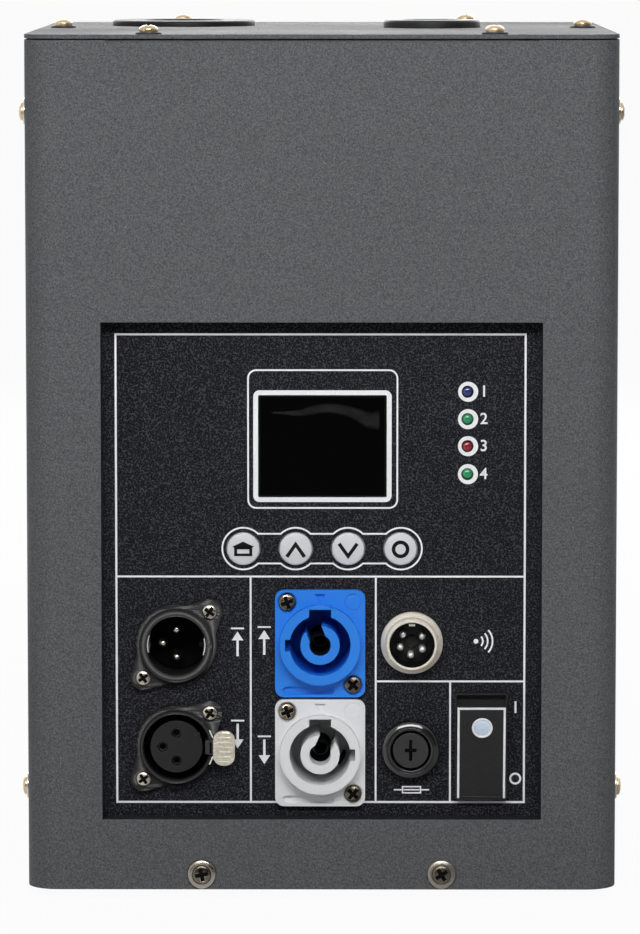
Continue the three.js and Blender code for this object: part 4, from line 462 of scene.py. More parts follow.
CREASE_RIDGE: Points = (
    (0.0, 0.62), (0.12, 0.6), (0.24, 0.6), (0.36, 0.78), (0.53, 0.95), (0.67, 0.8), (0.75, 0.61), (0.84, 0.3),
    (0.93, 0.06), (1.0, 0.08),
)
CREASE_BREADTH: Points = (
    (0.0, 0.1), (0.12, 0.2), (0.24, 0.33), (0.36, 0.48), (0.53, 0.52), (0.75, 0.63), (0.84, 0.8), (1.0, 1.0),
)
CREASE_ENDS = (-0.0141, 0.0164)
"""Where the crease's curves begin and end across the window, in metres."""
CREASE_LIFT = (0.138, 0.142)
"""Heights between which the middle of the crease lies, in metres."""
CREASE_REACH = 0.0032
CREASE_FALL = (0.35, 1.0, 1.0, 0.0)
CREASE_LEFT = (-0.0146, -0.0136)
CREASE_RIGHT = (0.0168, 0.0161)
CREASE_PATCH_SCALE = 260.0
CREASE_PATCHES = (0.35, 0.65, 0.5, 1.0)


def crease_group() -> Tree:
    """Finds where the painted sheen lies along the long crease of the film left on the display's window.

    Returns:
        The group.
    """
    group = Group("painted_film_crease_sheen")
    place = group.node("SeparateXYZ", {0: group.place}).outputs
    along = group.span(place["X"], *CREASE_ENDS)
    middle = group.span(followed(group, along, CREASE_RIDGE), 0.0, 1.0, *CREASE_LIFT)
    reach = group.maths("MULTIPLY", followed(group, along, CREASE_BREADTH), CREASE_REACH)
    off = group.maths("ABSOLUTE", group.maths("SUBTRACT", place["Z"], middle))
    mask = group.span(group.maths("DIVIDE", off, reach), *CREASE_FALL, interpolation_type="SMOOTHSTEP")
    left = group.span(place["X"], *CREASE_LEFT)
    right = group.span(place["X"], *CREASE_RIGHT)
    uneven = group.span(group.noise(group.place, CREASE_PATCH_SCALE, 2.0), *CREASE_PATCHES)
    for part in (left, right, uneven):
        mask = group.maths("MULTIPLY", mask, part)
    return group.give(Mask=mask)


def followed(group: Group, along: Socket, points: Sequence[Point]) -> Socket:
    """Returns a value that follows a curve.

    Args:
        group: The group that holds the curve.
        along: Place along the curve, from 0 to 1.
        points: Points of the curve.

    Returns:
        The curve's height at that place.
    """
    made = group.node("FloatCurve", {"Value": along})
    line = made.mapping.curves[0]
    line.points[0].location, line.points[-1].location = points[0], points[-1]
    for x, y in points[1:-1]:
        line.points.new(x, y)
    made.mapping.update()
    return made.outputs[0]


class Effects:
    """The shared node groups, each built once."""

    grain = grain_group()
    wear = wear_group()
    dust = dust_group()
    brush = brush_group()
    crease = crease_group()


COAT_ROUGHNESS = 0.05
LEAST_ROUGHNESS = 0.02
SPECKLE_POWER = 4.0


@dataclass(frozen=True)
class Finish:
    """One surface finish and the slot of the record that it belongs to."""

    name: str
    slot: str
    colour: Colour
    roughness: float
    metallic: float = 0.0
    grain_scale: float = 900.0
    relief: float = 0.00002
    tint: float = 0.1
    speckle_colour: Colour = (0.0, 0.0, 0.0)
    speckle: float = 0.0
    cloud: float = 0.06
    spread: float = 0.1
    # Lighter colour on edges: worn spots, and painted glints on the screws and washers.
    wear_colour: Colour = (0.3, 0.3, 0.3)
    wear: float = 0.0
    dust: float = 0.0
    dust_colour: Colour = (0.35, 0.34, 0.32)
    brushed: float = 0.0
    # Painted sheen: a lighter colour laid along the film's crease on the display's window.
    crease: float = 0.0
    crease_colour: Colour = (0.05, 0.05, 0.052)
    coat: float = 0.0
    transmission: float = 0.0
    specular: float = 0.5

    def material(self) -> bpy.types.Material:
        """Returns this finish's material, built the first time it is asked for."""
        return bpy.data.materials.get(self.name) or self.build()

    def build(self) -> bpy.types.Material:
        """Builds the material: grain, clouding, worn edges with painted glints, painted sheen along a film crease,
        and dust over the base colour.

        Returns:
            The material.
        """
        made = bpy.data.materials.new(self.name)
        made.use_nodes = True
        work = Wiring(made.node_tree)
        shader = made.node_tree.nodes["Principled BSDF"].inputs
        place = work.node("TexCoord", {}).outputs["Object"]
        grain = work.node("Group", {"Vector": place, "Grain Scale": self.grain_scale}, node_tree=Effects.grain)
        made.node_tree.links.new(self.surface_colour(work, place, grain), shader["Base Color"])
        low = max(self.roughness - self.spread, LEAST_ROUGHNESS)
        high = min(self.roughness + self.spread, 1.0)
        rough = work.span(grain.outputs["Cloud"], *CLOUD_SPAN, low, high)
        made.node_tree.links.new(rough, shader["Roughness"])
        height = grain.outputs["Grain"]
        if self.brushed:
            lines = work.node("Group", {"Vector": place}, node_tree=Effects.brush).outputs["Lines"]
            height = work.node("Mix", {"Factor": self.brushed, "A": height, "B": lines}).outputs["Result"]
        bump = work.node("Bump", {"Strength": 1.0, "Distance": self.relief, "Height": height})
        made.node_tree.links.new(bump.outputs[0], shader["Normal"])
        for label, value in (
            ("Metallic", self.metallic), ("Coat Weight", self.coat), ("Coat Roughness", COAT_ROUGHNESS),
            ("Transmission Weight", self.transmission), ("Specular IOR Level", self.specular),
        ):
            shader[label].default_value = value
        return made

    def surface_colour(self, work: Wiring, place: Socket, grain: bpy.types.Node) -> Socket:
        """Lays everything that covers the surface over its base colour.

        Args:
            work: The material's wiring.
            place: Place on the surface.
            grain: The material's grain node.

        Returns:
            The colour.
        """
        spread = work.span(grain.outputs["Grain"], 0.0, 1.0, 1.0 - self.tint, 1.0 + self.tint)
        clouded = work.span(grain.outputs["Cloud"], *CLOUD_SPAN, 1.0 - self.cloud, 1.0 + self.cloud)
        light = work.maths("MULTIPLY", spread, clouded)
        colour = work.node("VectorMath", {0: self.colour, "Scale": light}, operation="SCALE").outputs[0]
        if self.speckle:
            dots = work.maths("POWER", grain.outputs["Speckle"], SPECKLE_POWER)
            colour = work.covered(work.maths("MULTIPLY", dots, self.speckle), colour, self.speckle_colour)
        # Painted sheen along the film's crease.
        if self.crease:
            crease_sheen = work.node("Group", {"Vector": place}, node_tree=Effects.crease).outputs["Mask"]
            colour = work.covered(work.maths("MULTIPLY", crease_sheen, self.crease), colour, self.crease_colour)
        # Edges are lightened as worn spots and as painted glints.
        for effect, amount, over in ((Effects.wear, self.wear, self.wear_colour),
                                     (Effects.dust, self.dust, self.dust_colour)):
            if amount:
                laid = work.node("Group", {"Vector": place, "Amount": amount}, node_tree=effect)
                colour = work.covered(laid.outputs["Mask"], colour, over)
        return colour


class Finishes:
    """Every finish on the machine."""

    powder = Finish(
        "powder_coat_grey", "powder_coat", (0.095, 0.098, 0.104), 0.6, grain_scale=1800.0,
        relief=0.00028, tint=1.15, speckle=0.3, speckle_colour=(0.28, 0.28, 0.29), cloud=0.05,
        wear=0.35, wear_colour=(0.2, 0.2, 0.2), dust=0.1, specular=0.15,
    )
    # Painted shade: a darker grey for thin arcs that stand for the shaded side of the rings round the studs.
    stud_trace = Finish(
        "painted_stud_shade", "powder_coat", (0.05, 0.052, 0.056), 0.6, grain_scale=2600.0, relief=0.0001,
        tint=0.5,
    )
    panel = Finish(
        "panel_coat_black", "panel_coat", (0.003, 0.003, 0.004), 0.55, grain_scale=1250.0, relief=0.0003,
        tint=0.7, speckle=0.9, speckle_colour=(0.062, 0.063, 0.076), cloud=0.1, specular=0.1,
    )
    print_white = Finish(
        "print_white", "panel_coat", (0.93, 0.94, 0.95), 0.6, grain_scale=2200.0, relief=0.00001,
        tint=0.14, cloud=0.04,
    )
    nozzle = Finish(
        "heat_coat_black", "nozzle_coat", (0.01, 0.01, 0.011), 0.5, grain_scale=1800.0, relief=0.00004,
        tint=0.15, wear=0.5, wear_colour=(0.16, 0.16, 0.16), dust=0.1, specular=0.2,
    )
    brass = Finish(
        "brass_screw", "brass", (0.58, 0.46, 0.3), 0.3, metallic=1.0, grain_scale=2500.0,
        tint=0.2, wear=0.6, wear_colour=(0.86, 0.78, 0.6), cloud=0.15,
    )
    nickel = Finish(
        "nickel_plate", "nickel", (0.62, 0.59, 0.54), 0.24, metallic=1.0, grain_scale=2500.0, relief=0.000015,
        tint=0.12, cloud=0.1, spread=0.08,
    )
    dark_metal = Finish(
        "blackened_screw", "nickel", (0.2, 0.2, 0.2), 0.35, metallic=1.0, grain_scale=2500.0,
        tint=0.2, wear=0.6, wear_colour=(0.5, 0.5, 0.5), cloud=0.15,
    )
    washer_black = Finish(
        "washer_black", "black_plastic", (0.02, 0.02, 0.021), 0.5, grain_scale=2500.0,
    )
    zinc = Finish(
        "galvanised_sheet", "zinc_sheet", (0.5, 0.51, 0.52), 0.4, metallic=1.0, grain_scale=260.0,
        relief=0.00001, tint=0.2, cloud=0.15, brushed=0.4,
    )
    steel = Finish(
        "turned_steel", "steel", (0.42, 0.42, 0.43), 0.34, metallic=1.0,
        tint=0.12, cloud=0.1, brushed=0.7,
    )
    bronze_dark = Finish(
        "bronzed_screw", "nickel", (0.15, 0.125, 0.095), 0.26, metallic=1.0, grain_scale=1800.0,
        relief=0.00006, tint=0.4, wear=0.9, wear_colour=(0.85, 0.75, 0.6), cloud=0.35,
    )
    bronze_light = Finish(
        "bronzed_socket_screw", "nickel", (0.5, 0.45, 0.37), 0.3, metallic=1.0, grain_scale=2500.0,
        tint=0.3, wear=0.7, wear_colour=(0.85, 0.8, 0.7), cloud=0.25,
    )
    ring_nickel = Finish(
        "satin_nickel", "nickel", (0.86, 0.8, 0.69), 0.5, metallic=0.3, grain_scale=1500.0, relief=0.00012,
        tint=0.25, cloud=0.1, spread=0.08,
    )
    tab_nickel = Finish(
        "worn_tab_nickel", "nickel", (0.8, 0.75, 0.63), 0.45, metallic=0.55, relief=0.0003,
        tint=0.35, cloud=0.2,
    )
    # Near-white plated metal: the pins' own colour, and painted glints on the thin shield and spring strips of the
    # data sockets.
    pin_bright = Finish(
        "bright_pin_and_painted_glint", "nickel", (0.93, 0.92, 0.88), 0.35, metallic=0.55, grain_scale=1500.0,
        tint=0.05, cloud=0.03,
    )
    cup_dark = Finish(
        "dark_dished_washer", "nickel", (0.3, 0.28, 0.24), 0.3, metallic=1.0, grain_scale=1500.0,
        relief=0.00004, tint=0.3, wear=0.8, wear_colour=(0.7, 0.66, 0.58), cloud=0.2,
    )
    cap_grey = Finish(
        "satin_cap_grey", "black_plastic", (0.033, 0.033, 0.034), 0.45, grain_scale=1600.0,
        relief=0.00008, tint=0.3, wear=0.3, wear_colour=(0.1, 0.1, 0.1), specular=0.3,
    )
    cap_black = Finish(
        "matt_cap_black", "black_gloss", (0.012, 0.012, 0.013), 0.45, grain_scale=1500.0, relief=0.00003,
        specular=0.35,
    )
    black = Finish(
        "satin_black_plastic", "black_plastic", (0.011, 0.011, 0.012), 0.42, grain_scale=2600.0,
        relief=0.00003, tint=0.15, wear=0.3, wear_colour=(0.06, 0.06, 0.06), dust=0.03, specular=0.35,
    )
    rocker_black = Finish(
        "moulded_rocker_black", "black_plastic", (0.018, 0.018, 0.019), 0.5, grain_scale=1300.0,
        relief=0.00012, tint=0.5, cloud=0.1, wear=0.2, wear_colour=(0.08, 0.08, 0.08), specular=0.3,
    )
    bezel_gloss = Finish(
        "polished_bezel_black", "black_gloss", (0.007, 0.007, 0.008), 0.11, grain_scale=1500.0,
        relief=0.000004, spread=0.03, specular=0.75,
    )
    blue = Finish(
        "socket_blue", "blue_plastic", (0.018, 0.24, 0.87), 0.4, grain_scale=2400.0, relief=0.00003,
        tint=0.05, cloud=0.04,
    )
    white = Finish(
        "socket_white", "white_plastic", (0.84, 0.85, 0.86), 0.38, grain_scale=2400.0,
        tint=0.03, cloud=0.03,
    )
    keycap = Finish(
        "keycap_grey", "keycap", (0.72, 0.73, 0.75), 0.45, grain_scale=3000.0, relief=0.00003,
        tint=0.05, cloud=0.04,
    )
    key_ink = Finish(
        "key_ink_black", "keycap", (0.005, 0.005, 0.005), 0.6, grain_scale=3000.0, relief=0.000008,
        specular=0.15,
    )
    # Near-black: painted shade where it lines screw recesses, the fuse cap's slot, bores and wells, and where it
    # darkens the insert and blades deep in the sockets; elsewhere the parts' own black.
    deep_black = Finish(
        "black_and_painted_shade", "black_plastic", (0.003, 0.003, 0.003), 0.8, grain_scale=1500.0,
        specular=0.1,
    )
    # The window's film crease shows as a painted sheen, lighter than the glass.
    glass = Finish(
        "display_window", "display_glass", (0.0012, 0.0012, 0.0015), 0.1, grain_scale=300.0, relief=0.000002,
        tint=0.05, spread=0.03, specular=0.08, crease=0.42,
    )
    lamp_blue, lamp_green, lamp_red = (
        Finish("lens_" + tone, "lamp_" + tone, colour, 0.18, grain_scale=1500.0, relief=0.000004, coat=0.6)
        for tone, colour in (
            ("blue", (0.015, 0.03, 0.16)), ("green", (0.02, 0.3, 0.12)), ("red", (0.28, 0.012, 0.03)),
        )
    )
    indicator = Finish(
        "lens_pale", "white_plastic", (0.68, 0.78, 0.93), 0.35, relief=0.00004,
        tint=0.2, coat=0.2,
    )
    rubber = Finish(
        "foot_rubber", "rubber", (0.02, 0.02, 0.02), 0.85, grain_scale=1600.0, relief=0.00006,
        tint=0.2, dust=0.2,
    )
    fibre = Finish(
        "ceramic_fibre", "insulation", (0.6, 0.55, 0.45), 0.95, grain_scale=700.0, relief=0.0004,
        tint=0.25, cloud=0.12, brushed=0.4,
    )
    board = Finish(
        "green_solder_mask", "circuit_board", (0.015, 0.1, 0.04), 0.4, grain_scale=500.0, relief=0.00003,
        tint=0.2, speckle=0.25, speckle_colour=(0.45, 0.4, 0.25), coat=0.2,
    )
    fuse_glass = Finish(
        "fuse_glass", "fuse_glass", (0.85, 0.9, 0.9), 0.08, grain_scale=400.0, relief=0.000002,
        transmission=0.9, spread=0.03,
    )


@dataclass
class Workshop:
    """Turns shapes into pieces that ride on the machine's bodies."""

    made: int = 0
    softened_over: float = 32.0
    seam: float = 0.005
    soft_share: int = 60

    def piece(self, name: str, shape: Shape, finish: Finish, place: Matrix, body: str = "cabinet",
              replaces: Sequence[str] = (), bevel: float = 0.12, smooth: bool = True) -> None:
        """Makes a piece out of a shape, puts it on its body and hides the solids that it stands for.

        Args:
            name: Name of the piece.
            shape: Its mesh in millimetres.
            finish: Its surface.
            place: Matrix into the machine's frame.
            body: The body that carries it.
            replaces: Solids that it stands for.
            bevel: Width of its softened edges in millimetres; zero leaves them sharp.
            smooth: Whether round faces are shaded as round.
        """
        data = bpy.data.meshes.new(name)
        shape.moved(place).tidy().to_mesh(data)
        shape.mesh.free()
        made = bpy.data.objects.new(name, data)
        bpy.context.scene.collection.objects.link(made)
        data.materials.append(finish.material())
        if smooth:
            self.soften(made, bevel)
        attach(made, body)
        if replaces:
            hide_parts(*replaces)
        self.made += 1
        LOG.info("%s rides on %s", made.name, body)

    def soften(self, made: bpy.types.Object, bevel: float) -> None:
        """Rounds the sharp edges of a piece and shades its curved faces as curved.

        Args:
            made: The piece.
            bevel: Width of its softened edges in millimetres; zero leaves them sharp.
        """
        data = made.data
        data.polygons.foreach_set("use_smooth", [True] * len(data.polygons))
        if bevel:
            edge = made.modifiers.new("edge", "BEVEL")
            edge.width = bevel * MM
            edge.segments = 2
            edge.limit_method = "ANGLE"
            edge.angle_limit = math.radians(self.softened_over)
        shade = made.modifiers.new("shade", "WEIGHTED_NORMAL")
        shade.keep_sharp = False
        shade.weight = self.soft_share

    def dress(self, node: str, finish: Finish, bevel: float) -> None:
        """Gives a solid of the frame its finish and soft edges.

        Args:
            node: Name of the solid.
            finish: Its surface.
            bevel: Width of its softened edges in millimetres.
        """
        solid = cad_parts[node]
        solid.data.materials.clear()
        solid.data.materials.append(finish.material())
        joined = solid.modifiers.new("join", "WELD")
        joined.merge_threshold = self.seam * MM
        self.soften(solid, bevel)
        LOG.info("%s is dressed in %s", node, finish.name)


@dataclass(frozen=True)
class Screw:
    """A domed screw with a cross recess, and the washers that go under it."""

    head_radius: float = 2.7
    head_height: float = 2.1
    washer_radius: float = 3.8
    washer_height: float = 0.6
    cross_length: float = 3.1
    cross_width: float = 0.85
    cross_depth: float = 1.1
    rim_share: float = 0.35
    root: float = 0.4
    play: float = 0.02
    lining_share: float = 0.45
    washer_bore: float = 0.5
    washer_softness: float = 0.3
    cup_bore: float = 0.7
    cup_rises: tuple[float, float, float, float] = (0.25, 0.7, 0.92, 0.5)
    cup_steps: Triple = (0.35, 0.45, 0.1)
    steps: int = 40

    def head(self, base: float) -> Shape:
        """Draws the head with its cross recess.

        Args:
            base: Height on which it stands.

        Returns:
            The head.
        """
        radius, top = self.head_radius, base + self.head_height
        rim = base + self.rim_share * self.head_height
        crown = dome(radius, top - rim, rim, range(80, 0, -10))
        profile = [(0.0, base - self.root), (radius, base - self.root), (radius, rim), *crown, (0.0, top)]
        cutter = Shape().plate([self.cross(0.0)], top - self.cross_depth, top + OVERRUN)
        return carve(Shape().turn(profile, self.steps), cutter)

    def cross(self, play: float) -> Loop:
        """Draws the outline of the cross recess.

        Args:
            play: How far it is drawn in on every side.

        Returns:
            The outline.
        """
        half, thick = self.cross_length / 2 - play, self.cross_width / 2 - play
        return [(thick, thick), (thick, half), (-thick, half), (-thick, thick), (-half, thick), (-half, -thick),
                (-thick, -thick), (-thick, -half), (thick, -half), (thick, -thick), (half, -thick), (half, thick)]

    def drive(self, base: float) -> Shape:
        """Returns a near-black plate in the cross recess, painted shade, for a head that stands on a height."""
        low = base + self.head_height - self.cross_depth
        return Shape().plate([self.cross(self.play)], low - self.play, low + self.lining_share * self.cross_depth)

    def washer(self) -> Shape:
        """Draws a flat washer with softened rims.

        Returns:
            The washer.
        """
        inner, outer, height = self.head_radius * self.washer_bore, self.washer_radius, self.washer_height
        edge = height * self.washer_softness
        profile = [(inner, 0.0), (outer, 0.0), (outer, height - edge), (outer - edge, height), (inner, height)]
        return Shape().turn(profile, self.steps, ring=True)

    def cup(self, height: float) -> Shape:
        """Draws a dished washer whose rim falls towards the sheet.

        Args:
            height: Its height.

        Returns:
            The washer.
        """
        inner, outer, crest = self.head_radius * self.cup_bore, self.washer_radius, self.head_radius
        rim, shoulder, brow, seat = (share * height for share in self.cup_rises)
        fall, wide, narrow = self.cup_steps
        profile = [(inner, 0.0), (outer, 0.0), (outer, rim), (outer - fall, shoulder), (crest + wide, height),
                   (crest + narrow, brow), (inner, seat)]
        return Shape().turn(profile, self.steps, ring=True)


@dataclass(frozen=True)
class ScrewRow:
    """Equal screws that hold one thing, each turned a little further than the last."""

    name: str
    screw: Screw
    finish: Finish
    seat: float
    first_turn: float
    turn_step: float
    bevel: float = 0.05
    washer_name: str = ""
    washer_finish: Optional[Finish] = None
    cup: float = 0.0
    stands_for_solids: bool = False

    def build(self, shop: Workshop, places: Sequence[Matrix]) -> None:
        """Builds the screws and washers, and the painted shade in all the recesses as one piece.

        Args:
            shop: The workshop that makes the pieces.
            places: Where each screw stands.
        """
        lining = Shape()
        for i, place in enumerate(places):
            number = i + 1
            turn = place @ turned(self.first_turn + self.turn_step * i)
            if self.washer_finish:
                washer = self.screw.cup(self.cup) if self.cup else self.screw.washer()
                shop.piece(f"{self.washer_name}_{number}", washer, self.washer_finish, place, bevel=0.05)
            name = f"{self.name}_head_{number}" if self.stands_for_solids else f"{self.name}_{number}"
            solids = (f"{self.name}_{number}",) if self.stands_for_solids else ()
            shop.piece(name, self.screw.head(self.seat), self.finish, turn, replaces=solids, bevel=self.bevel)
            # Near-black plates sit in the cross recesses as painted shade.
            lining.join(self.screw.drive(self.seat).moved(turn))
        shop.piece(f"{self.name}_recess_shade", lining, Finishes.deep_black, Matrix.Identity(4), bevel=0)


@dataclass
class Cabinet:
    """The bent sheets, their screws, the feet and thin dark arcs of painted shade where the studs sit behind the
    front.
    """

    shop: Workshop
    lid_screw: Screw = Screw()
    side_screw: Screw = Screw(head_height=1.3, cross_depth=0.9)
    base_screw: Screw = Screw(2.6, 0.9, 4.3, cross_length=3.8, cross_width=1.1, cross_depth=1.0)
    fan_screw: Screw = Screw(2.55, 0.42, cross_depth=0.4)
    lid_places: Points = (
        (-49.3, -84.05), (49.3, -84.05), (-78.2, 2.95), (78.2, 2.95), (-44.7, 84.95), (44.7, 84.95),
    )
    side_lifts: Pair = (223.8, 28.1)
    side_back: float = 14.0
    base_places: Pair = (-34.6, 34.6)
    base_lift: float = 4.55
    base_cup: float = 1.1
    base_sink: float = 0.1
    stud_marks: Points = ((-42.2, 229.7), (42.2, 204.5))
    stud_radius: float = 2.5
    stud_width: float = 0.16
    stud_proud: float = 0.03
    stud_arc: Pair = (-65.0, 135.0)
    fan_centre: Point = (38.0, 98.0)
    fan_bolt: float = 25.0
    fan_sink: float = 0.46
    foot_places: Points = ((-61.0, -65.05), (-61.0, 66.95), (61.0, -65.05), (61.0, 66.95))
    foot_profile: Points = (
        (0.0, 0.9), (3.0, 0.9), (3.6, 0.3), (6.6, 0.0), (7.1, 0.25), (8.0, 2.6), (8.0, 3.0), (0.0, 3.0),
    )

    def build(self) -> None:
        """Builds and dresses the whole cabinet."""
        for node in ("wrap_shell", "lid_plate", "base_plate"):
            self.shop.dress(node, Finishes.powder, bevel=0.3)
        self.shop.dress("rear_panel", Finishes.powder, bevel=0)
        self.sheet_screws()
        self.marks()
        self.fan_screws()
        self.feet()

    def sheet_screws(self) -> None:
        """Builds the brass screws of the lid and the sides and the two dark ones under the panel."""
        sides = ((Facing.LEFT, -SIDE_FACE), (Facing.RIGHT, SIDE_FACE))
        ScrewRow(
            "lid_screw", self.lid_screw, Finishes.brass, self.lid_screw.washer_height, first_turn=0,
            turn_step=23, bevel=0.06, washer_name="lid_washer", washer_finish=Finishes.washer_black,
            stands_for_solids=True,
        ).build(self.shop, [placement(Facing.UP, (x, y, LID_FACE)) for x, y in self.lid_places])
        ScrewRow(
            "side_screw", self.side_screw, Finishes.brass, self.side_screw.washer_height, first_turn=31,
            turn_step=31, bevel=0.06, washer_name="side_washer", washer_finish=Finishes.nickel,
            stands_for_solids=True,
        ).build(self.shop, [placement(facing, (x, FRONT_FACE + self.side_back, SHELL_FOOT + lift))
                            for facing, x in sides for lift in self.side_lifts])
        ScrewRow(
            "base_screw", self.base_screw, Finishes.bronze_dark, self.base_cup - self.base_sink, first_turn=12,
            turn_step=20, bevel=0.06, washer_name="base_cup", washer_finish=Finishes.cup_dark, cup=self.base_cup,
            stands_for_solids=True,
        ).build(self.shop, [self.on_front(x, self.base_lift) for x in self.base_places])

    def on_front(self, x: float, lift: float) -> Matrix:
        """Returns a place on the front sheet."""
        return placement(Facing.FRONT, (x, FRONT_FACE, SHELL_FOOT + lift))

    def marks(self) -> None:
        """Builds thin dark arcs on the front: painted shade on one side of the faint rings that the pressed-in
        studs leave.
        """
        shade_arc = stroke(arc(self.stud_radius, *self.stud_arc, steps=24), self.stud_width)
        for i, spot in enumerate(self.stud_marks):
            shape = Shape().plate([shade_arc], SUNK_PRINT, self.stud_proud)
            self.shop.piece(f"stud_shade_arc_{i + 1}", shape, Finishes.stud_trace, self.on_front(*spot), bevel=0)

    def fan_screws(self) -> None:
        """Builds the four countersunk screws that hold the fan to the rear sheet."""
        (x, z), bolt = self.fan_centre, self.fan_bolt
        places = [placement(Facing.REAR, (x + across, REAR_FACE - self.fan_sink, z + up))
                  for across in (-bolt, bolt) for up in (-bolt, bolt)]
        row = ScrewRow("fan_screw", self.fan_screw, Finishes.nickel, 0.0, first_turn=40, turn_step=40, bevel=0.04)
        row.build(self.shop, places)

    def feet(self) -> None:
        """Builds the four rubber feet with their sunk middles."""
        for i, spot in enumerate(self.foot_places):
            self.shop.piece(f"rubber_foot_{i + 1}", Shape().turn(self.foot_profile, 48), Finishes.rubber,
                            placement(Facing.UP, (*spot, 0.0)), replaces=(f"foot_{i + 1}",), bevel=0.1)


@dataclass(frozen=True)
class PrintedFrame:
    """A printed frame with an even line."""

    width: float
    height: float
    radius: float
    centre: Point
    line: float
    least_radius: float = 0.2

    def loops(self) -> list[Loop]:
        """Draws the frame.

        Returns:
            Its outer and its inner outline.
        """
        inner = max(self.radius - self.line, self.least_radius) if self.radius else 0
        return [rounded(self.width, self.height, self.radius, self.centre),
                rounded(self.width - 2 * self.line, self.height - 2 * self.line, inner, self.centre)]


class Way(Enum):
    """Which way an arrow points: up at its bar, or down and away from it."""

    IN = 1
    OUT = -1


@dataclass
class PanelPrint:
    """White lines and marks printed on the recessed panel; heights are measured from the shell's lower edge."""

    shop: Workshop
    thickness: float = 0.05
    line: float = 0.6
    inner_line: float = 0.55
    left: float = -59.2
    right: float = 58.5
    low: float = 24.3
    high: float = 160.1
    middle: float = 90.1
    split: float = 59.6
    columns: Triple = (-20.5, 15.6, 37.1)
    display_frames: tuple[PrintedFrame, ...] = (
        PrintedFrame(43.4, 40.3, 2.6, (0.28, 129.9), 0.5), PrintedFrame(39.8, 32.3, 1.8, (0.2, 127.85), 1.4),
    )
    button_x: tuple[float, ...] = (-22.6, -7.5, 7.6, 22.8)
    button_lift: float = 98.2
    button_ring: float = 6.05
    button_bar: float = 4.3
    button_line: float = 0.5
    lamp_x: float = 41.9
    lamp_lifts: tuple[float, ...] = (143.6, 135.7, 127.9, 119.8)
    lamp_ring: float = 2.9
    lamp_line: float = 1.15
    lamp_shift: float = 0.15
    number_x: float = 46.6
    number_size: float = 4.59
    number_swell: float = 0.06
    arrows: tuple[tuple[str, Point, Way], ...] = (
        ("print_data_in", (-24.3, 70.5), Way.IN), ("print_power_in", (-16.6, 70.9), Way.IN),
        ("print_data_out", (-24.3, 43.6), Way.OUT), ("print_power_out", (-16.6, 39.0), Way.OUT),
    )
    arrow_lines: Point = (0.7, 0.5)
    arrow_half: float = 3.6
    arrow_head: Point = (1.7, 2.6)
    arrow_stop: Point = (1.9, 0.9)
    fuse_frame: PrintedFrame = PrintedFrame(5.6, 2.2, 0.0, (26.0, 27.9), 0.4)
    fuse_wires: Points = ((20.9, 23.3), (23.7, 28.3), (28.7, 31.1))
    wave_centre: Point = (44.5, 71.3)
    wave_radii: tuple[float, ...] = (2.0, 3.4, 4.8)
    wave_reach: float = 42.0
    wave_line: float = 0.5
    wave_dot: float = 0.7
    switch_x: float = 56.0
    switch_on: Point = (50.4, 53.8)
    switch_off: float = 31.2
    switch_ring: Point = (1.75, 1.15)

    def put(self, name: str, groups: Sequence[Sequence[Loop]]) -> None:
        """Prints groups of outlines as one piece.

        Args:
            name: Name of the piece.
            groups: For each separate patch its edge and its holes.
        """
        shape = Shape()
        for loops in groups:
            shape.plate(loops, SUNK_PRINT, self.thickness)
        self.shop.piece(name, shape, Finishes.print_white, on_panel(0.0, 0.0), smooth=False)

    def build(self) -> None:
        """Prints everything."""
        self.borders()
        self.put("print_display_frames", [each.loops() for each in self.display_frames])
        self.button_outline()
        self.put("print_lamp_rings", [
            [circle(self.lamp_ring, (self.lamp_x + self.lamp_shift, lift)),
             circle(self.lamp_ring - self.lamp_line, (self.lamp_x, lift))] for lift in self.lamp_lifts])
        for i, lift in enumerate(self.lamp_lifts):
            self.number(i + 1, (self.number_x, lift))
        self.symbols()

    def borders(self) -> None:
        """Prints the border and the lines that divide the sockets."""
        half, line = self.line / 2, self.line
        centre = ((self.left + self.right) / 2, (self.low + self.high) / 2)
        border = PrintedFrame(self.right - self.left + line, self.high - self.low + line, 0.0, centre, line)
        first, second, third = self.columns
        lines = [
            ((self.left + half, self.middle), (self.right - half, self.middle)),
            ((first, self.low + half), (first, self.middle - half)),
            ((second, self.low + half), (second, self.middle - half)),
            ((second + half, self.split), (self.right - half, self.split)),
            ((third, self.low + half), (third, self.split - half)),
        ]
        self.put("print_borders", [border.loops()] + [[stroke(ends, self.inner_line)] for ends in lines])

    def button_outline(self) -> None:
        """Prints the single outline that runs round the four buttons."""
        first, *middle, last = self.button_x
        loops = []
        for side in (self.button_line / 2, -self.button_line / 2):
            radius, bar = self.button_ring + side, self.button_bar + side
            bend = math.degrees(math.asin(bar / radius))
            loop: Loop = []
            for x in middle:
                loop += arc(radius, bend - 180, -bend, (x, self.button_lift), 24)
            loop += arc(radius, bend - 180, 180 - bend, (last, self.button_lift), 40)
            for x in reversed(middle):
                loop += arc(radius, bend, 180 - bend, (x, self.button_lift), 24)
            loop += arc(radius, bend, 360 - bend, (first, self.button_lift), 40)
            loops.append(loop)
        self.put("print_button_outline", [loops])

    def number(self, value: int, centre: Point) -> None:
        """Prints a plain number beside a lamp.

        Args:
            value: The number.
            centre: Middle of the print.
        """
        name = f"print_number_{value}"
        curve = bpy.data.curves.new(name, "FONT")
        curve.body = str(value)
        curve.size = self.number_size
        curve.align_x = curve.align_y = "CENTER"
        curve.offset = self.number_swell
        curve.extrude = self.thickness / 2
        curve.resolution_u = 4
        holder = bpy.data.objects.new(name + "_curve", curve)
        bpy.context.scene.collection.objects.link(holder)
        bpy.context.view_layer.update()
        drawn = bpy.data.meshes.new_from_object(holder)
        shape = Shape()
        shape.mesh.from_mesh(drawn)
        bmesh.ops.remove_doubles(shape.mesh, verts=shape.mesh.verts, dist=1e-4)
        bpy.data.objects.remove(holder)
        bpy.data.curves.remove(curve)
        bpy.data.meshes.remove(drawn)
        place = on_panel(*centre)
        self.shop.piece(name, shape, Finishes.print_white, place, smooth=False)

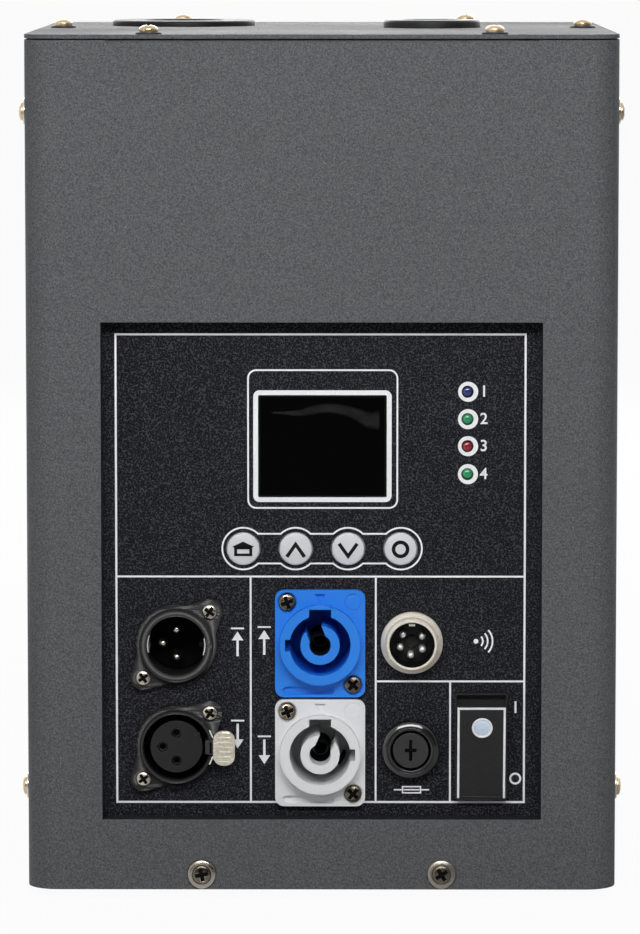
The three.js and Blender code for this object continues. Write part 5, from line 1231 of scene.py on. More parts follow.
    def symbols(self) -> None:
        """Prints plain marks where each socket is labelled: ways in and out, a fuse, a remote, on and off."""
        for name, centre, way in self.arrows:
            self.put(name, self.arrow(centre, way))
        lift = self.fuse_frame.centre[1]
        wires = [[stroke(((start, lift), (end, lift)), self.fuse_frame.line)] for start, end in self.fuse_wires]
        self.put("print_fuse", [self.fuse_frame.loops(), *wires])
        reach, centre = self.wave_reach, self.wave_centre
        waves = [[stroke(arc(radius, -reach, reach, centre, 14), self.wave_line)] for radius in self.wave_radii]
        self.put("print_remote", [[circle(self.wave_dot, centre)], *waves])
        x = self.switch_x
        self.put("print_switch_on", [[stroke([(x, lift) for lift in self.switch_on], self.line)]])
        self.put("print_switch_off", [[circle(radius, (x, self.switch_off)) for radius in self.switch_ring]])

    def arrow(self, centre: Point, way: Way) -> list[list[Loop]]:
        """Draws an arrow that points at a bar or away from one.

        Args:
            centre: Its middle.
            way: Which way it points.

        Returns:
            Its head, its shaft and the bar.
        """
        x, y = centre
        tip, foot = y + way.value * self.arrow_half, y - way.value * self.arrow_half
        breadth, length = self.arrow_head
        root = tip - way.value * length
        reach, gap = self.arrow_stop
        stop = (tip if way is Way.IN else foot) + gap
        shaft, bar = self.arrow_lines
        return [[[(x, tip), (x - breadth, root), (x + breadth, root)]], [stroke(((x, foot), (x, root)), shaft)],
                [stroke(((x - reach, stop), (x + reach, stop)), bar)]]


class Key(Enum):
    """The four keys, from left to right."""

    MENU = "menu"
    UP = "up"
    DOWN = "down"
    ENTER = "enter"


@dataclass
class ControlPanel:
    """The recessed panel with its display, buttons and lamps."""

    shop: Workshop
    button_x: tuple[float, ...] = (-22.6, -7.5, 7.6, 22.7)
    button_lift: float = 98.2
    button_proud: float = 1.6
    button_crown: float = 0.75
    button_crown_radius: float = 4.6256
    button_skirt: Points = (
        (4.72, 0.65), (4.72, -1.5), (5.72, -1.5), (5.72, -2.7), (1.6, -2.7), (1.6, -5.0), (0.0, -5.0),
    )
    ink_proud: float = 0.015
    ink_depth: float = 0.35
    lamps: tuple[tuple[str, float, Finish], ...] = (
        ("lamp_heating", 143.6, Finishes.lamp_blue), ("lamp_work", 135.7, Finishes.lamp_green),
        ("lamp_fault", 127.8, Finishes.lamp_red), ("lamp_data", 119.9, Finishes.lamp_green),
    )
    lamp_x: float = 41.9
    lamp_radius: float = 1.5
    lamp_height: float = 0.9
    lamp_seat: float = -0.5
    lamp_leg: Points = (
        (1.5, -1.5), (2.0, -1.5), (2.0, -2.5), (0.8, -2.5), (0.8, -8.0), (0.0, -8.0),
    )
    window: Pair = (36.2, 28.7)
    window_corner: float = 0.6
    window_centre: Point = (0.2, 127.8)
    window_sink: Pair = (-4.6, -0.6)
    bezel_rise: Pair = (-0.9, -0.3)
    bezel_half: float = 0.5
    bezel_corners: Point = (0.8, 0.5)
    module: Triple = (41.6, 34.1, 0.5)
    module_sink: Pair = (-4.9, -1.6)
    module_plug: Box = (24.0, 2.5, -8.4, -4.9, (0.0, 0.0))

    def build(self) -> None:
        """Builds and dresses everything on the panel except its sockets."""
        self.shop.dress("control_panel", Finishes.panel, bevel=0.15)
        self.shop.dress("display_board", Finishes.board, bevel=0.05)
        PanelPrint(self.shop).build()
        self.display()
        for x, key in zip(self.button_x, Key):
            self.button(x, key)
        for node, lift, finish in self.lamps:
            self.lamp(node, lift, finish)

    def display(self) -> None:
        """Builds the display's window with its thin bezel and the module behind the glass."""
        (width, height), edge, (outer, inner) = self.window, self.bezel_half, self.bezel_corners
        place = on_panel(*self.window_centre)
        glass = Shape().plate([rounded(width, height, self.window_corner)], *self.window_sink)
        self.shop.piece("display_glass", glass, Finishes.glass, place, replaces=("display_module",), bevel=0.15)
        loops = [rounded(width + edge, height + edge, outer), rounded(width - edge, height - edge, inner)]
        bezel = Shape().plate(loops, *self.bezel_rise)
        self.shop.piece("display_bezel", bezel, Finishes.deep_black, place, bevel=0.1)
        back = Shape().plate([rounded(*self.module)], *self.module_sink).block(*self.module_plug)
        self.shop.piece("display_back", back, Finishes.black, place, bevel=0.1)

    def button(self, x: float, key: Key) -> None:
        """Builds one key cap with its black symbol.

        Args:
            x: Place along the panel.
            key: Which key it is.
        """
        top, crown = self.button_proud, self.button_crown
        node, body, place = "button_" + key.value, key.value + "_button", on_panel(x, self.button_lift)
        cap = Shape().turn([(0.0, top), *dome(self.button_crown_radius, crown, top - crown, range(10, 91, 10)),
                            *self.button_skirt], 64)
        self.shop.piece(node + "_cap", cap, Finishes.keycap, place, body, replaces=(node,), bevel=0.08)
        ink = Shape()
        for loops in self.symbol(key):
            ink.plate(loops, top - self.ink_depth, top + self.ink_proud)
        self.shop.piece(node + "_symbol", ink, Finishes.key_ink, place, body, smooth=False)

    @staticmethod
    def symbol(key: Key) -> list[list[Loop]]:
        """Draws a key's symbol: a plain house, a chevron up, a chevron down or a ring.

        Args:
            key: Which key it is.

        Returns:
            For each patch of the symbol its edge and its holes.
        """
        return {
            Key.MENU: [[[(0.0, 2.2), (-3.1, 0.75), (-2.6, 0.45), (2.6, 0.45), (3.1, 0.75)]],
                       [rounded(5.2, 2.7, 0.0, (0.0, -0.65)), rounded(3.5, 1.2, 0.0, (0.0, -0.65))]],
            Key.UP: [[stroke([(-2.55, -2.2), (0.0, 1.4), (2.55, -2.2)], 1.0)]],
            Key.DOWN: [[stroke([(-2.6, 1.6), (0.0, -2.0), (2.6, 1.6)], 1.0)]],
            Key.ENTER: [[circle(2.55), circle(1.5)]],
        }[key]

    def lamp(self, node: str, lift: float, finish: Finish) -> None:
        """Builds one lamp as a round lens with its collar and the leg behind the panel.

        Args:
            node: The solid that it stands for.
            lift: Its height on the panel.
            finish: Its colour.
        """
        height, seat = self.lamp_height, self.lamp_seat
        lens = dome(self.lamp_radius, height, seat, range(10, 91, 10))
        shape = Shape().turn([(0.0, seat + height), *lens, *self.lamp_leg], 40)
        self.shop.piece(node + "_lens", shape, finish, on_panel(self.lamp_x, lift), replaces=(node,), bevel=0.04)


@dataclass(kw_only=True)
class Fitting:
    """Something that stands on the panel; its pieces are drawn from its middle, on the panel's face."""

    shop: Workshop
    x: float
    lift: float

    def add(self, name: str, shape: Shape, finish: Finish, bevel: float, body: str = "cabinet",
            solid: str = "") -> None:
        """Makes a piece of the fitting, in the place of a solid where one is named."""
        solids = (solid,) if solid else ()
        self.shop.piece(name, shape, finish, on_panel(self.x, self.lift), body, solids, bevel)


@dataclass(kw_only=True)
class DataSocket(Fitting):
    """A round three-pole socket on a flange with two diagonal ears."""

    x: float = -41.9
    flange: float = 11.6
    flange_height: float = 2.0
    waist_share: float = 0.86
    outline_steps: int = 144
    ear_offset: float = 9.6
    ear_radius: float = 3.6
    ear_hole: float = 1.7
    collar: float = 10.6
    collar_proud: float = 4.5
    collar_round: float = 0.3
    mouth_round: float = 0.25
    mouth_depth: float = 1.4
    cavity: float = 9.1
    mouth: float = 8.5
    depth: float = 27.0
    screw: Screw = Screw(2.15, 1.1, cross_length=3.2, cross_width=0.95, cross_depth=1.0)
    contact_circle: float = 4.0
    pin_face: float = -12.5
    pin_profile: Points = (
        (0.0, -0.5), (0.6, -0.65), (1.05, -1.2), (1.2, -2.1), (1.2, -21.5), (0.0, -21.5),
    )
    disc_play: float = 0.25
    disc_depth: float = 5.0
    shield_arcs: tuple[Pair, ...] = ((-20, 14), (160, 194))
    shield_sink: float = 0.8
    shield_wall: float = 0.4
    pin_key: Box = (1.6, 1.5, -12.5, 1.3, (7.35, 0.0))
    insert: float = 7.5
    insert_sink: float = 1.2
    insert_depth: float = 6.0
    insert_base: float = 9.5
    insert_root: float = -22.0
    hole: float = 1.5
    liner: Tube = (1.0, 1.42, -2.5, 2.4)
    hole_key: Box = (1.5, 1.0, 1.3, 3.5, (6.0, 3.6))
    tab: Triple = (6.2, 10.0, 2.7)
    tab_centre: Point = (13.75, -0.2)
    tab_rise: Pair = (4.0, 5.35)
    stem: tuple[Box, Box] = ((1.6, 4.2, 4.1, 5.2, (10.4, 0.0)), (2.0, 4.0, -8.3, 5.2, (9.3, 0.0)))
    rib_count: int = 7
    rib_pitch: float = 1.4
    rib_reach: float = 4.2
    rib_width: float = 0.5
    rib_rise: Pair = (5.2, 5.6)
    rib_arch: float = 4.3
    rib_narrowing: float = 0.62
    spring_points: tuple[Point, Point] = ((10.55, 2.7), (9.55, 5.0))
    spring_wire: float = 0.4
    spring_rise: Pair = (4.2, 4.53)

    def outline(self) -> Loop:
        """Draws the flange's edge: a circle with an ear drawn out on both sides of one diagonal.

        Returns:
            The outline.
        """
        reach = math.hypot(self.ear_offset, self.ear_offset)
        root = self.flange * self.waist_share
        meet = math.acos((root - self.ear_radius) / reach)
        touch = math.atan2(self.ear_radius * math.sin(meet), reach + self.ear_radius * math.cos(meet))
        points: Loop = []
        for i in range(self.outline_steps):
            angle = 2 * math.pi * i / self.outline_steps
            turn = abs((angle - math.pi / 4 + math.pi / 2) % math.pi - math.pi / 2)
            radius = self.flange
            if turn < touch:
                across = reach * math.sin(turn)
                radius = max(radius, reach * math.cos(turn) + math.sqrt(self.ear_radius**2 - across**2))
            elif turn < meet:
                radius = max(radius, root / math.cos(meet - turn))
            points.append((radius * math.cos(angle), radius * math.sin(angle)))
        return points

    def shell(self, name: str, node: str) -> None:
        """Builds the flange, the collar, the barrel with its open bore, and the two screws.

        Args:
            name: Name of the piece.
            node: The solid that it stands for.
        """
        ears = [(sign * self.ear_offset, sign * self.ear_offset) for sign in (-1, 1)]
        holes = [circle(self.ear_hole, ear, 24) for ear in ears]
        holes.insert(0, circle(self.collar - self.collar_round, steps=96))
        shape = Shape().plate([self.outline(), *holes], 0.0, self.flange_height)
        rim, edge, lip = self.collar_proud, self.collar_round, self.mouth_round
        profile = [(self.mouth, rim - lip), (self.mouth + lip, rim), (self.collar - edge, rim),
                   (self.collar, rim - edge), (self.collar, self.flange_height), (self.collar, -self.depth),
                   (self.cavity, -self.depth), (self.cavity, rim - self.mouth_depth),
                   (self.mouth, rim - self.mouth_depth)]
        self.add(name, shape.turn(profile, 96, ring=True), Finishes.black, bevel=0.18, solid=node)
        ScrewRow(
            name + "_screw", self.screw, Finishes.bronze_light, self.flange_height, first_turn=35, turn_step=20,
        ).build(self.shop, [on_panel(self.x + x, self.lift + y) for x, y in ears])

    def contacts(self) -> list[Point]:
        """Returns the places of the three contacts, the key's quarter left free."""
        return [(self.contact_circle * math.cos(a), self.contact_circle * math.sin(a))
                for a in (math.pi / 2, math.pi, 1.5 * math.pi)]

    def pins(self, name: str, node: str) -> None:
        """Builds the insert of the pin side: a near-black disc at the bottom of the bore, its own black darkened
        as painted shade, and three plated pins.

        Args:
            name: Start of the pieces' names.
            node: The solid that the disc stands for.
        """
        face = self.pin_face
        # The insert's own black is darkened here as painted shade deep in the bore.
        disc = Shape().disc(self.cavity - self.disc_play, face - self.disc_depth, face)
        self.add(name + "_disc", disc, Finishes.deep_black, bevel=0.2, solid=node)
        # Thin near-white strips at the bore's sides: real metal, made pale as painted glints.
        shield, inner = Shape(), self.mouth - self.shield_wall
        for start, end in self.shield_arcs:
            shield.plate([arc(self.mouth, start, end, steps=16) + arc(inner, end, start, steps=16)], face,
                         self.collar_proud - self.shield_sink)
        self.add(name + "_shield", shield, Finishes.pin_bright, bevel=0.08)
        pins = Shape()
        for centre in self.contacts():
            pins.turn(self.pin_profile, 32, centre)
        self.add(name + "_pins", pins, Finishes.nickel, bevel=0)
        self.add(name + "_key", Shape().block(*self.pin_key), Finishes.deep_black, bevel=0.15)

    def holes(self, name: str, node: str) -> None:
        """Builds the insert of the hole side with three metal-lined holes.

        Args:
            name: Name of the insert, and start of the others' names.
            node: The solid that the insert stands for.
        """
        face = self.collar_proud - self.insert_sink
        low, base = face - self.insert_depth, self.insert_root
        cuts = [circle(self.hole, centre, 28) for centre in self.contacts()]
        shape = Shape().plate([circle(self.insert, steps=72), *cuts], low, face)
        shape.turn([(0.0, low), (self.insert, low), (self.insert, base), (self.insert_base, base),
                    (self.insert_base, -self.depth), (0.0, -self.depth)], 64)
        self.add(name, shape, Finishes.black, bevel=0.15, solid=node)
        liners = Shape()
        for centre in self.contacts():
            liners.tube(*self.liner, 28, centre)
        self.add(name + "_contacts", liners, Finishes.dark_metal, bevel=0)
        self.add(name + "_key", Shape().block(*self.hole_key), Finishes.black, bevel=0.1)

    def latch(self, name: str, node: str, body: str) -> None:
        """Builds the metal release tab with its ribs, the stem that enters the collar and the spring's ends, made
        pale as painted glints.

        Args:
            name: Name of the tab, and start of the others' names.
            node: The solid that the tab stands for.
            body: The body that moves it.
        """
        tab = Shape().plate([rounded(*self.tab, self.tab_centre, 12)], *self.tab_rise)
        self.add(name, tab, Finishes.tab_nickel, bevel=0.3, body=body, solid=node)
        stem, arm = self.stem
        self.add(name + "_stem", Shape().block(*stem).block(*arm), Finishes.washer_black, bevel=0.2, body=body)
        ribs = Shape()
        for i in range(self.rib_count):
            lift = self.rib_reach - self.rib_pitch * i
            across = math.sqrt(self.rib_arch**2 - (self.rib_narrowing * lift) ** 2)
            ribs.block(min(across, self.rib_reach), self.rib_width, *self.rib_rise, (self.tab_centre[0], lift))
        self.add(name + "_ribs", ribs, Finishes.tab_nickel, bevel=0.12, body=body)
        # Thin near-white wires beside the tab: the spring's ends, made pale as painted glints.
        spring = Shape()
        for way in (-1, 1):
            ends = [(x, way * y) for x, y in self.spring_points]
            spring.plate([stroke(ends, self.spring_wire)], *self.spring_rise)
        self.add(name + "_spring", spring, Finishes.pin_bright, bevel=0.03)


class Hand(Enum):
    """Side of the second key notch in a power socket."""

    LEFT = -1
    RIGHT = 1


@dataclass(kw_only=True)
class PowerSocket(Fitting):
    """A square-flanged twist-lock power socket with a keyed bore round a hollow core."""

    name: str
    finish: Finish
    hand: Hand
    core_gap: float
    lining_sink: float
    x: float = -0.45
    width: float = 26.0
    height: float = 31.2
    corner: float = 2.6
    flange_height: float = 2.0
    pocket_depth: float = 0.9
    screw_places: tuple[Point, Point] = ((-9.5, 12.0), (9.5, -12.0))
    screw: Screw = Screw(2.5, 1.2, cross_length=3.7, cross_width=1.1, cross_depth=1.1)
    screw_sink: float = 0.8
    screw_pocket: float = 2.95
    pill: Triple = (14.9, 2.3, 1.14)
    pill_centre: Point = (-3.4, -13.6)
    pill_depth: float = 1.0
    pointer: Points = ((0.0, 11.9), (1.5, 14.4), (-1.5, 14.4))
    ring_centre: Point = (9.5, 12.0)
    ring: Pair = (2.55, 2.1)
    ring_depth: float = 0.3
    collar: float = 11.55
    collar_foot: float = -1.2
    collar_overlap: float = 0.6
    barrel_wall_step: float = 0.25
    barrel_foot: float = -24.0
    rim: float = 6.0
    bore: float = 8.8
    bore_depth: float = 17.1
    floor_radius: float = 10.6
    floor_height: float = 2.0
    key_width: float = 6.3
    key_reach: float = 10.4
    side_width: float = 3.4
    side_reach: float = 10.1
    core: float = 5.65
    core_hole: float = 3.1
    core_sink: float = 0.5
    gap_width: float = 4.8
    contact: Tube = (2.0, 2.5, -14.5, -9.5)
    well_wall: float = 0.4
    well_play: float = 0.1
    well_lip: Point = (0.2, 0.3)
    blade_angles: tuple[float, ...] = ()
    blade: Box = (0.8, 3.4, -17.1, -8.5, (7.2, 0.0))

    def bore_loop(self) -> Loop:
        """Draws the bore with its top notch and its side notch.

        Returns:
            The outline.
        """
        bore, half, low = self.bore, self.key_width / 2, self.side_width / 2
        top, side = (math.degrees(math.asin(reach / bore)) for reach in (half, low))
        notch = [(half, self.key_reach), (-half, self.key_reach)]
        out = self.side_reach
        if self.hand is Hand.RIGHT:
            return [(out, -low), (out, low), *arc(bore, side, 90 - top, steps=16), *notch,
                    *arc(bore, 90 + top, 360 - side, steps=48)]
        return [*arc(bore, side - 180, 90 - top, steps=48), *notch, *arc(bore, 90 + top, 180 - side, steps=16),
                (-out, low), (-out, -low)]

    def core_loop(self) -> Loop:
        """Draws the core: a thick ring that is open at its gap.

        Returns:
            The outline.
        """
        outer, inner = (math.degrees(math.asin(self.gap_width / 2 / r)) for r in (self.core, self.core_hole))
        start, end = self.core_gap, self.core_gap + 360
        return (arc(self.core, start + outer, end - outer, steps=48)
                + arc(self.core_hole, end - inner, start + inner, steps=36))

    def flange_plate(self) -> Shape:
        """Draws the flange with the pockets in its face.

        Returns:
            The flange.
        """
        face, over = self.flange_height, self.flange_height + 2 * OVERRUN
        hole = circle(self.collar - self.collar_overlap, steps=72)
        plate = Shape().plate([rounded(self.width, self.height, self.corner), hole], 0.0, face)
        pockets = Shape()
        for centre in self.screw_places:
            pockets.plate([circle(self.screw_pocket, centre, 32)], face - self.pocket_depth, over)
        pockets.plate([rounded(*self.pill, self.pill_centre)], face - self.pill_depth, over)
        pockets.plate([self.pointer], face - self.pocket_depth, over)
        pockets.plate([circle(radius, self.ring_centre, 32) for radius in self.ring], face - self.ring_depth, over)
        return carve(plate, pockets)

    def build(self) -> None:
        """Builds the socket."""
        name, finish, floor = self.name, self.finish, -self.bore_depth
        self.add(name + "_flange", self.flange_plate(), finish, bevel=0.25, solid=name + "_socket")
        bore, barrel = self.bore_loop(), self.collar - self.barrel_wall_step
        collar = Shape().plate([circle(self.collar, steps=96), bore], self.collar_foot, self.rim)
        collar.plate([circle(barrel, steps=96), bore], self.barrel_foot, self.collar_foot)
        self.add(name + "_collar", collar, finish, bevel=0.28)
        disc = Shape().disc(self.floor_radius, floor - self.floor_height, floor, 48)
        self.add(name + "_floor", disc, finish, bevel=0)
        top = self.rim - self.core_sink
        self.add(name + "_core", Shape().plate([self.core_loop()], floor, top), finish, bevel=0.25)
        self.add(name + "_contact", Shape().tube(*self.contact, 32), Finishes.dark_metal, bevel=0.05)
        # A near-black cup lines the core's hole as painted shade.
        outer, high, base = self.core_hole - self.well_play, top - self.lining_sink, floor + self.well_wall
        inner, (across, down) = outer - self.well_wall, self.well_lip
        well = Shape().turn([(0.0, base), (inner, base), (inner, high - down), (inner + across, high),
                             (outer, high), (outer, floor), (0.0, floor)], 48)
        self.add(name + "_well", well, Finishes.deep_black, bevel=0)
        if self.blade_angles:
            self.blades()
        ScrewRow(
            name + "_screw", self.screw, Finishes.bronze_dark, self.flange_height - self.screw_sink, first_turn=20,
            turn_step=28,
        ).build(self.shop, [on_panel(self.x + x, self.lift + y) for x, y in self.screw_places])

    def blades(self) -> None:
        """Builds the contact blades that stand beside the core."""
        shape = Shape()
        for angle in self.blade_angles:
            shape.join(Shape().block(*self.blade).moved(turned(angle)))
        self.add(self.name + "_blades", shape, Finishes.deep_black, bevel=0.05)


@dataclass(kw_only=True)
class RemoteSocket(Fitting):
    """The plated round socket for the wired remote."""

    x: float = 26.0
    lift: float = 70.9
    flange: float = 8.95
    barrel: float = 7.7
    barrel_foot: float = -16.0
    bore: float = 6.5
    rim: float = 6.0
    flange_height: float = 1.6
    thread: Triple = (0.3, 0.4, 0.8)
    inner_thread: Triple = (0.22, 0.35, 0.7)
    thread_margins: Point = (0.9, 1.9)
    inner_start: float = -1.5
    inner_margin: float = 1.2
    mouth_lip: Point = (0.2, 0.3)
    rim_lip: float = 0.6
    shoulder: float = 0.9
    flange_lip: Point = (0.3, 0.4)
    insert: Triple = (6.25, -8.0, -3.0)
    boss: Triple = (1.8, -3.2, -2.2)
    pin_circle: float = 3.6
    pin_pitch: float = 64.0
    pin_turn: float = -95.0
    pin_count: int = 5
    pin_profile: Points = (
        (0.0, 1.8), (0.55, 1.7), (0.9, 1.3), (0.95, 0.8), (0.95, -10.0), (0.0, -10.0),
    )
    lining: Tube = (6.2, 6.55, -8.0, 5.55)
    key: Box = (1.8, 1.2, -3.0, 5.0, (0.0, 6.0))

    def build(self) -> None:
        """Builds the threaded ring, the insert and its five pins."""
        self.add("remote_ring", self.threaded_ring(), Finishes.ring_nickel, bevel=0.05, solid="remote_socket")
        disc = Shape().disc(*self.insert, 56).disc(*self.boss, 32)
        self.add("remote_disc", disc, Finishes.black, bevel=0.12, solid="remote_insert")
        # A near-black tube inside the plated bore is painted shade.
        self.add("remote_bore_shade", Shape().tube(*self.lining, 72), Finishes.deep_black, bevel=0.08)
        pins = Shape()
        for i in range(self.pin_count):
            turn = (i - 2) * self.pin_pitch + self.pin_turn
            pins.turn(self.pin_profile, 24, arc(self.pin_circle, turn, turn, steps=1)[0])
        self.add("remote_pins", pins, Finishes.pin_bright, bevel=0)
        self.add("remote_key", Shape().block(*self.key), Finishes.ring_nickel, bevel=0.15)

    def threaded_ring(self) -> Shape:
        """Draws the ring with the thread outside and the fine ridges in its bore.

        Returns:
            The ring.
        """
        bore, barrel, rim, seat = self.bore, self.barrel, self.rim, self.flange_height
        outside: list[Point] = []
        depth, fall, pitch = self.thread
        above, below = self.thread_margins
        height = rim - above
        while height > seat + below:
            outside += [(barrel, height), (barrel - depth, height - fall)]
            height -= pitch
        inside: list[Point] = []
        depth, rise, pitch = self.inner_thread
        height = self.inner_start
        while height < rim - self.inner_margin:
            inside += [(bore, height), (bore + depth, height + rise)]
            height += pitch
        (lip, drop), (edge, bevel) = self.mouth_lip, self.flange_lip
        profile = [(bore, rim - drop), (bore + lip, rim), (barrel - self.rim_lip, rim), *outside,
                   (barrel, seat + self.shoulder), (self.flange - edge, seat), (self.flange, seat - bevel),
                   (self.flange, 0.0), (barrel, 0.0), (barrel, self.barrel_foot), (bore, self.barrel_foot),
                   *inside]
        return Shape().turn(profile, 96, ring=True)


@dataclass(kw_only=True)
class FuseHolder(Fitting):
    """The glossy fuse bezel with its slotted cap and the fuse behind it."""

    x: float = 25.7
    lift: float = 39.95
    bezel_profile: Points = (
        (5.75, 3.65), (5.9, 3.9), (6.05, 4.0), (6.5, 4.0), (6.6, 3.78), (6.8, 3.78), (6.87, 3.98), (7.1, 3.9),
        (7.4, 3.78), (7.7, 3.64), (7.95, 3.5), (8.12, 3.38), (8.24, 3.26), (8.3, 3.05), (8.3, 0.0), (6.2, 0.0),
        (6.2, -36.0), (5.75, -36.0),
    )
    cap: float = 5.1
    cap_top: float = 3.6
    cap_body: Points = ((0.0, 2.1), (5.1, 2.1), (5.1, -1.4), (3.4, -1.4), (3.4, -5.4), (0.0, -5.4))
    slot_depth: float = 1.5
    slot_lining: Pair = (1.52, 0.6)
    slot_lining_share: float = 0.97
    slot_half: tuple[float, float, float, float] = (0.47, 3.1, 0.55, 1.75)
    tube: Tube = (2.2, 2.45, -20.0, -9.0)
    end_radius: float = 2.5
    end_round: float = 0.2
    end_rises: tuple[Pair, ...] = ((-9.5, -5.5), (-23.5, -19.5))
    wire: Triple = (0.15, -19.5, -9.5)

    def slot(self, share: float = 1.0) -> Loop:
        """Draws the cross-shaped slot in the cap.

        Args:
            share: Its size as a share of the full one.

        Returns:
            The outline.
        """
        a, b, c, d = (half * share for half in self.slot_half)
        return [(a, c), (a, b), (-a, b), (-a, c), (-d, c), (-d, -c), (-a, -c), (-a, -b), (a, -b), (a, -c), (d, -c),
                (d, c)]

    def build(self) -> None:
        """Builds the holder, the cap and the fuse."""
        bezel = Shape().turn(self.bezel_profile, 96, ring=True)
        self.add("fuse_bezel", bezel, Finishes.bezel_gloss, bevel=0.06, solid="fuse_holder")
        # A near-black plate in the cap's slot is painted shade.
        top, low = self.cap_top, self.cap_top - self.slot_depth
        lining = Shape().plate([self.slot(self.slot_lining_share)], *(top - sink for sink in self.slot_lining))
        self.add("fuse_cap_slot_shade", lining, Finishes.deep_black, bevel=0, body="fuse_cover")
        cap = Shape().plate([circle(self.cap, steps=72), self.slot()], low, top).turn(self.cap_body, 56)
        self.add("fuse_cap_top", cap, Finishes.cap_grey, bevel=0.12, body="fuse_cover", solid="fuse_cap")
        tube = Shape().tube(*self.tube, 40)
        self.add("fuse_tube", tube, Finishes.fuse_glass, bevel=0, body="fuse", solid="fuse_link")
        ends, radius, edge = Shape(), self.end_radius, self.end_round
        for low, high in self.end_rises:
            ends.turn([(0.0, high), (radius - edge, high), (radius, high - edge), (radius, low + edge),
                       (radius - edge, low), (0.0, low)], 40)
        self.add("fuse_ends", ends.disc(*self.wire, 10), Finishes.nickel, bevel=0.05, body="fuse")


@dataclass(kw_only=True)
class PowerSwitch(Fitting):
    """The rocker switch with its frame, its white-edged rocker and pale indicator."""

    x: float = 46.05
    lift: float = 40.9
    frame_size: Point = (15.0, 31.0)
    frame_corners: Point = (0.9, 0.4)
    frame_proud: float = 2.8
    sill_proud: float = 0.5
    wall: float = 0.35
    body: Triple = (12.9, 27.9, 0.5)
    body_rise: Point = (-19.2, 0.1)
    body_floor: float = -7.1
    window: Triple = (9.0, 16.0, 0.3)
    terminal: tuple[float, float, float, float] = (6.3, 0.8, -27.2, -19.0)
    terminal_pitch: float = 7.5
    rocker: Point = (14.1, 27.2)
    rocker_corner: float = 0.5
    arm: float = 6.5
    thickness: float = 1.9
    pivot_sink: float = 1.4
    tilt: float = 10.0
    edge_line: float = 0.65
    edge_inset: float = 0.1
    edge_rise: Pair = (-0.4, 0.12)
    pivot: Box = (8.0, 6.0, -7.5, -1.7, (0.0, 0.0))
    groove: Box = (11.1, 0.35, -0.3, 0.03, (0.0, -13.75))
    chin: float = 0.55
    spot: Point = (0.2, 7.3)
    ring_profile: Points = ((2.35, -0.2), (3.0, -0.2), (3.0, 0.2), (2.7, 0.4), (2.35, 0.2))
    lens_profile: Points = (
        (0.0, 0.45), (1.2, 0.38), (2.0, 0.2), (2.4, 0.0), (2.4, -0.3), (0.0, -0.3),
    )

    def build(self) -> None:
        """Builds the frame and the rocker."""
        (width, height), (outside, inside) = self.frame_size, self.frame_corners
        edge, window = rounded(width, height, outside), rounded(*self.window)
        inner = rounded(width - 2 * self.wall, height - 2 * self.wall, inside)
        shape = Shape().plate([edge, inner], 0.0, self.frame_proud).plate([edge, window], 0.0, self.sill_proud)
        shape.plate([rounded(*self.body), window], *self.body_rise)
        shape.block(*self.body[:2], self.body_rise[0], self.body_floor)
        for i in (-1, 0, 1):
            shape.block(*self.terminal, (0.0, self.terminal_pitch * i))
        self.add("switch_frame", shape, Finishes.rocker_black, bevel=0.2, solid="switch_body")
        self.build_rocker()

    def tilted(self, name: str, shape: Shape, finish: Finish, bevel: float, solid: str = "") -> None:
        """Makes a piece of the rocker, drawn from the rocker's face, which stands tilted on its pivot."""
        tilt = Matrix.Translation((0, 0, -self.pivot_sink)) @ turned(self.tilt, "X")
        self.add(name, shape.moved(tilt @ Matrix.Translation((0, 0, self.arm))), finish, bevel, "rocker", solid)

    def build_rocker(self) -> None:
        """Builds the rocker with its white edge, a painted highlight line along its lower end and its indicator.
        """
        (width, height), chin, line = self.rocker, self.chin, self.edge_line
        edge = rounded(width, height + chin, self.rocker_corner, (0.0, -chin / 2))
        face = Shape().plate([edge], -self.thickness, 0.0)
        face.block(*self.pivot)
        self.tilted("switch_rocker_face", face, Finishes.rocker_black, bevel=0.25, solid="switch_rocker")
        inset = self.edge_inset
        right, low, high = width / 2 - inset, inset - height / 2 - chin, height / 2 - inset
        path = [(-right, low), (-right, high), (right, high), (right, low), (right - line, low),
                (right - line, high - line), (line - right, high - line), (line - right, low)]
        self.tilted("switch_rocker_edge", Shape().plate([path], *self.edge_rise), Finishes.print_white, bevel=0.06)
        # A lighter grey strip along the rocker's lower end is a painted highlight where the frame's lower rim
        # catches light.
        self.tilted("switch_rocker_highlight", Shape().block(*self.groove), Finishes.cap_grey, bevel=0)
        ring = Shape().turn(self.ring_profile, 48, self.spot, True)
        self.tilted("switch_lens_ring", ring, Finishes.print_white, bevel=0.05)
        self.tilted("switch_lens", Shape().turn(self.lens_profile, 48, self.spot), Finishes.indicator, bevel=0)


@dataclass
class LidFittings:
    """The nozzle and the hopper's cap on the lid."""

    shop: Workshop
    nozzle: Place = (-43.0, 38.15, LID_FACE)
    nozzle_profile: Points = (
        (11.0, -2.4), (11.6, -0.2), (12.6, 1.7), (21.2, 1.7), (21.7, 1.45), (21.9, 1.0), (21.9, 0.0), (13.0, 0.0),
        (13.0, -44.0), (11.0, -44.0),
    )
    cap: Place = (32.9, 10.55, LID_FACE)
    cap_radius: float = 14.65
    cap_height: float = 2.3
    cap_round: float = 0.9
    cap_dish: Points = ((0.0, 2.0), (9.0, 2.0), (9.5, 2.3))
    cap_plug: Points = ((14.65, 0.05), (11.5, 0.05), (11.5, -5.0), (0.0, -5.0))

    def build(self) -> None:
        """Builds both fittings."""
        tube, place = Shape().turn(self.nozzle_profile, 96, ring=True), placement(Facing.UP, self.nozzle)
        self.shop.piece("nozzle_tube", tube, Finishes.nozzle, place, replaces=("nozzle",))
        edge = self.cap_round
        crown = dome(edge, edge, self.cap_height - edge, range(0, 91, 15), self.cap_radius - edge)
        cap = Shape().turn([*self.cap_dish, *crown, *self.cap_plug], 96)
        self.shop.piece("filler_cap_top", cap, Finishes.cap_black, placement(Facing.UP, self.cap), "filler_cap",
                        replaces=("hopper_cap",), bevel=0.1)


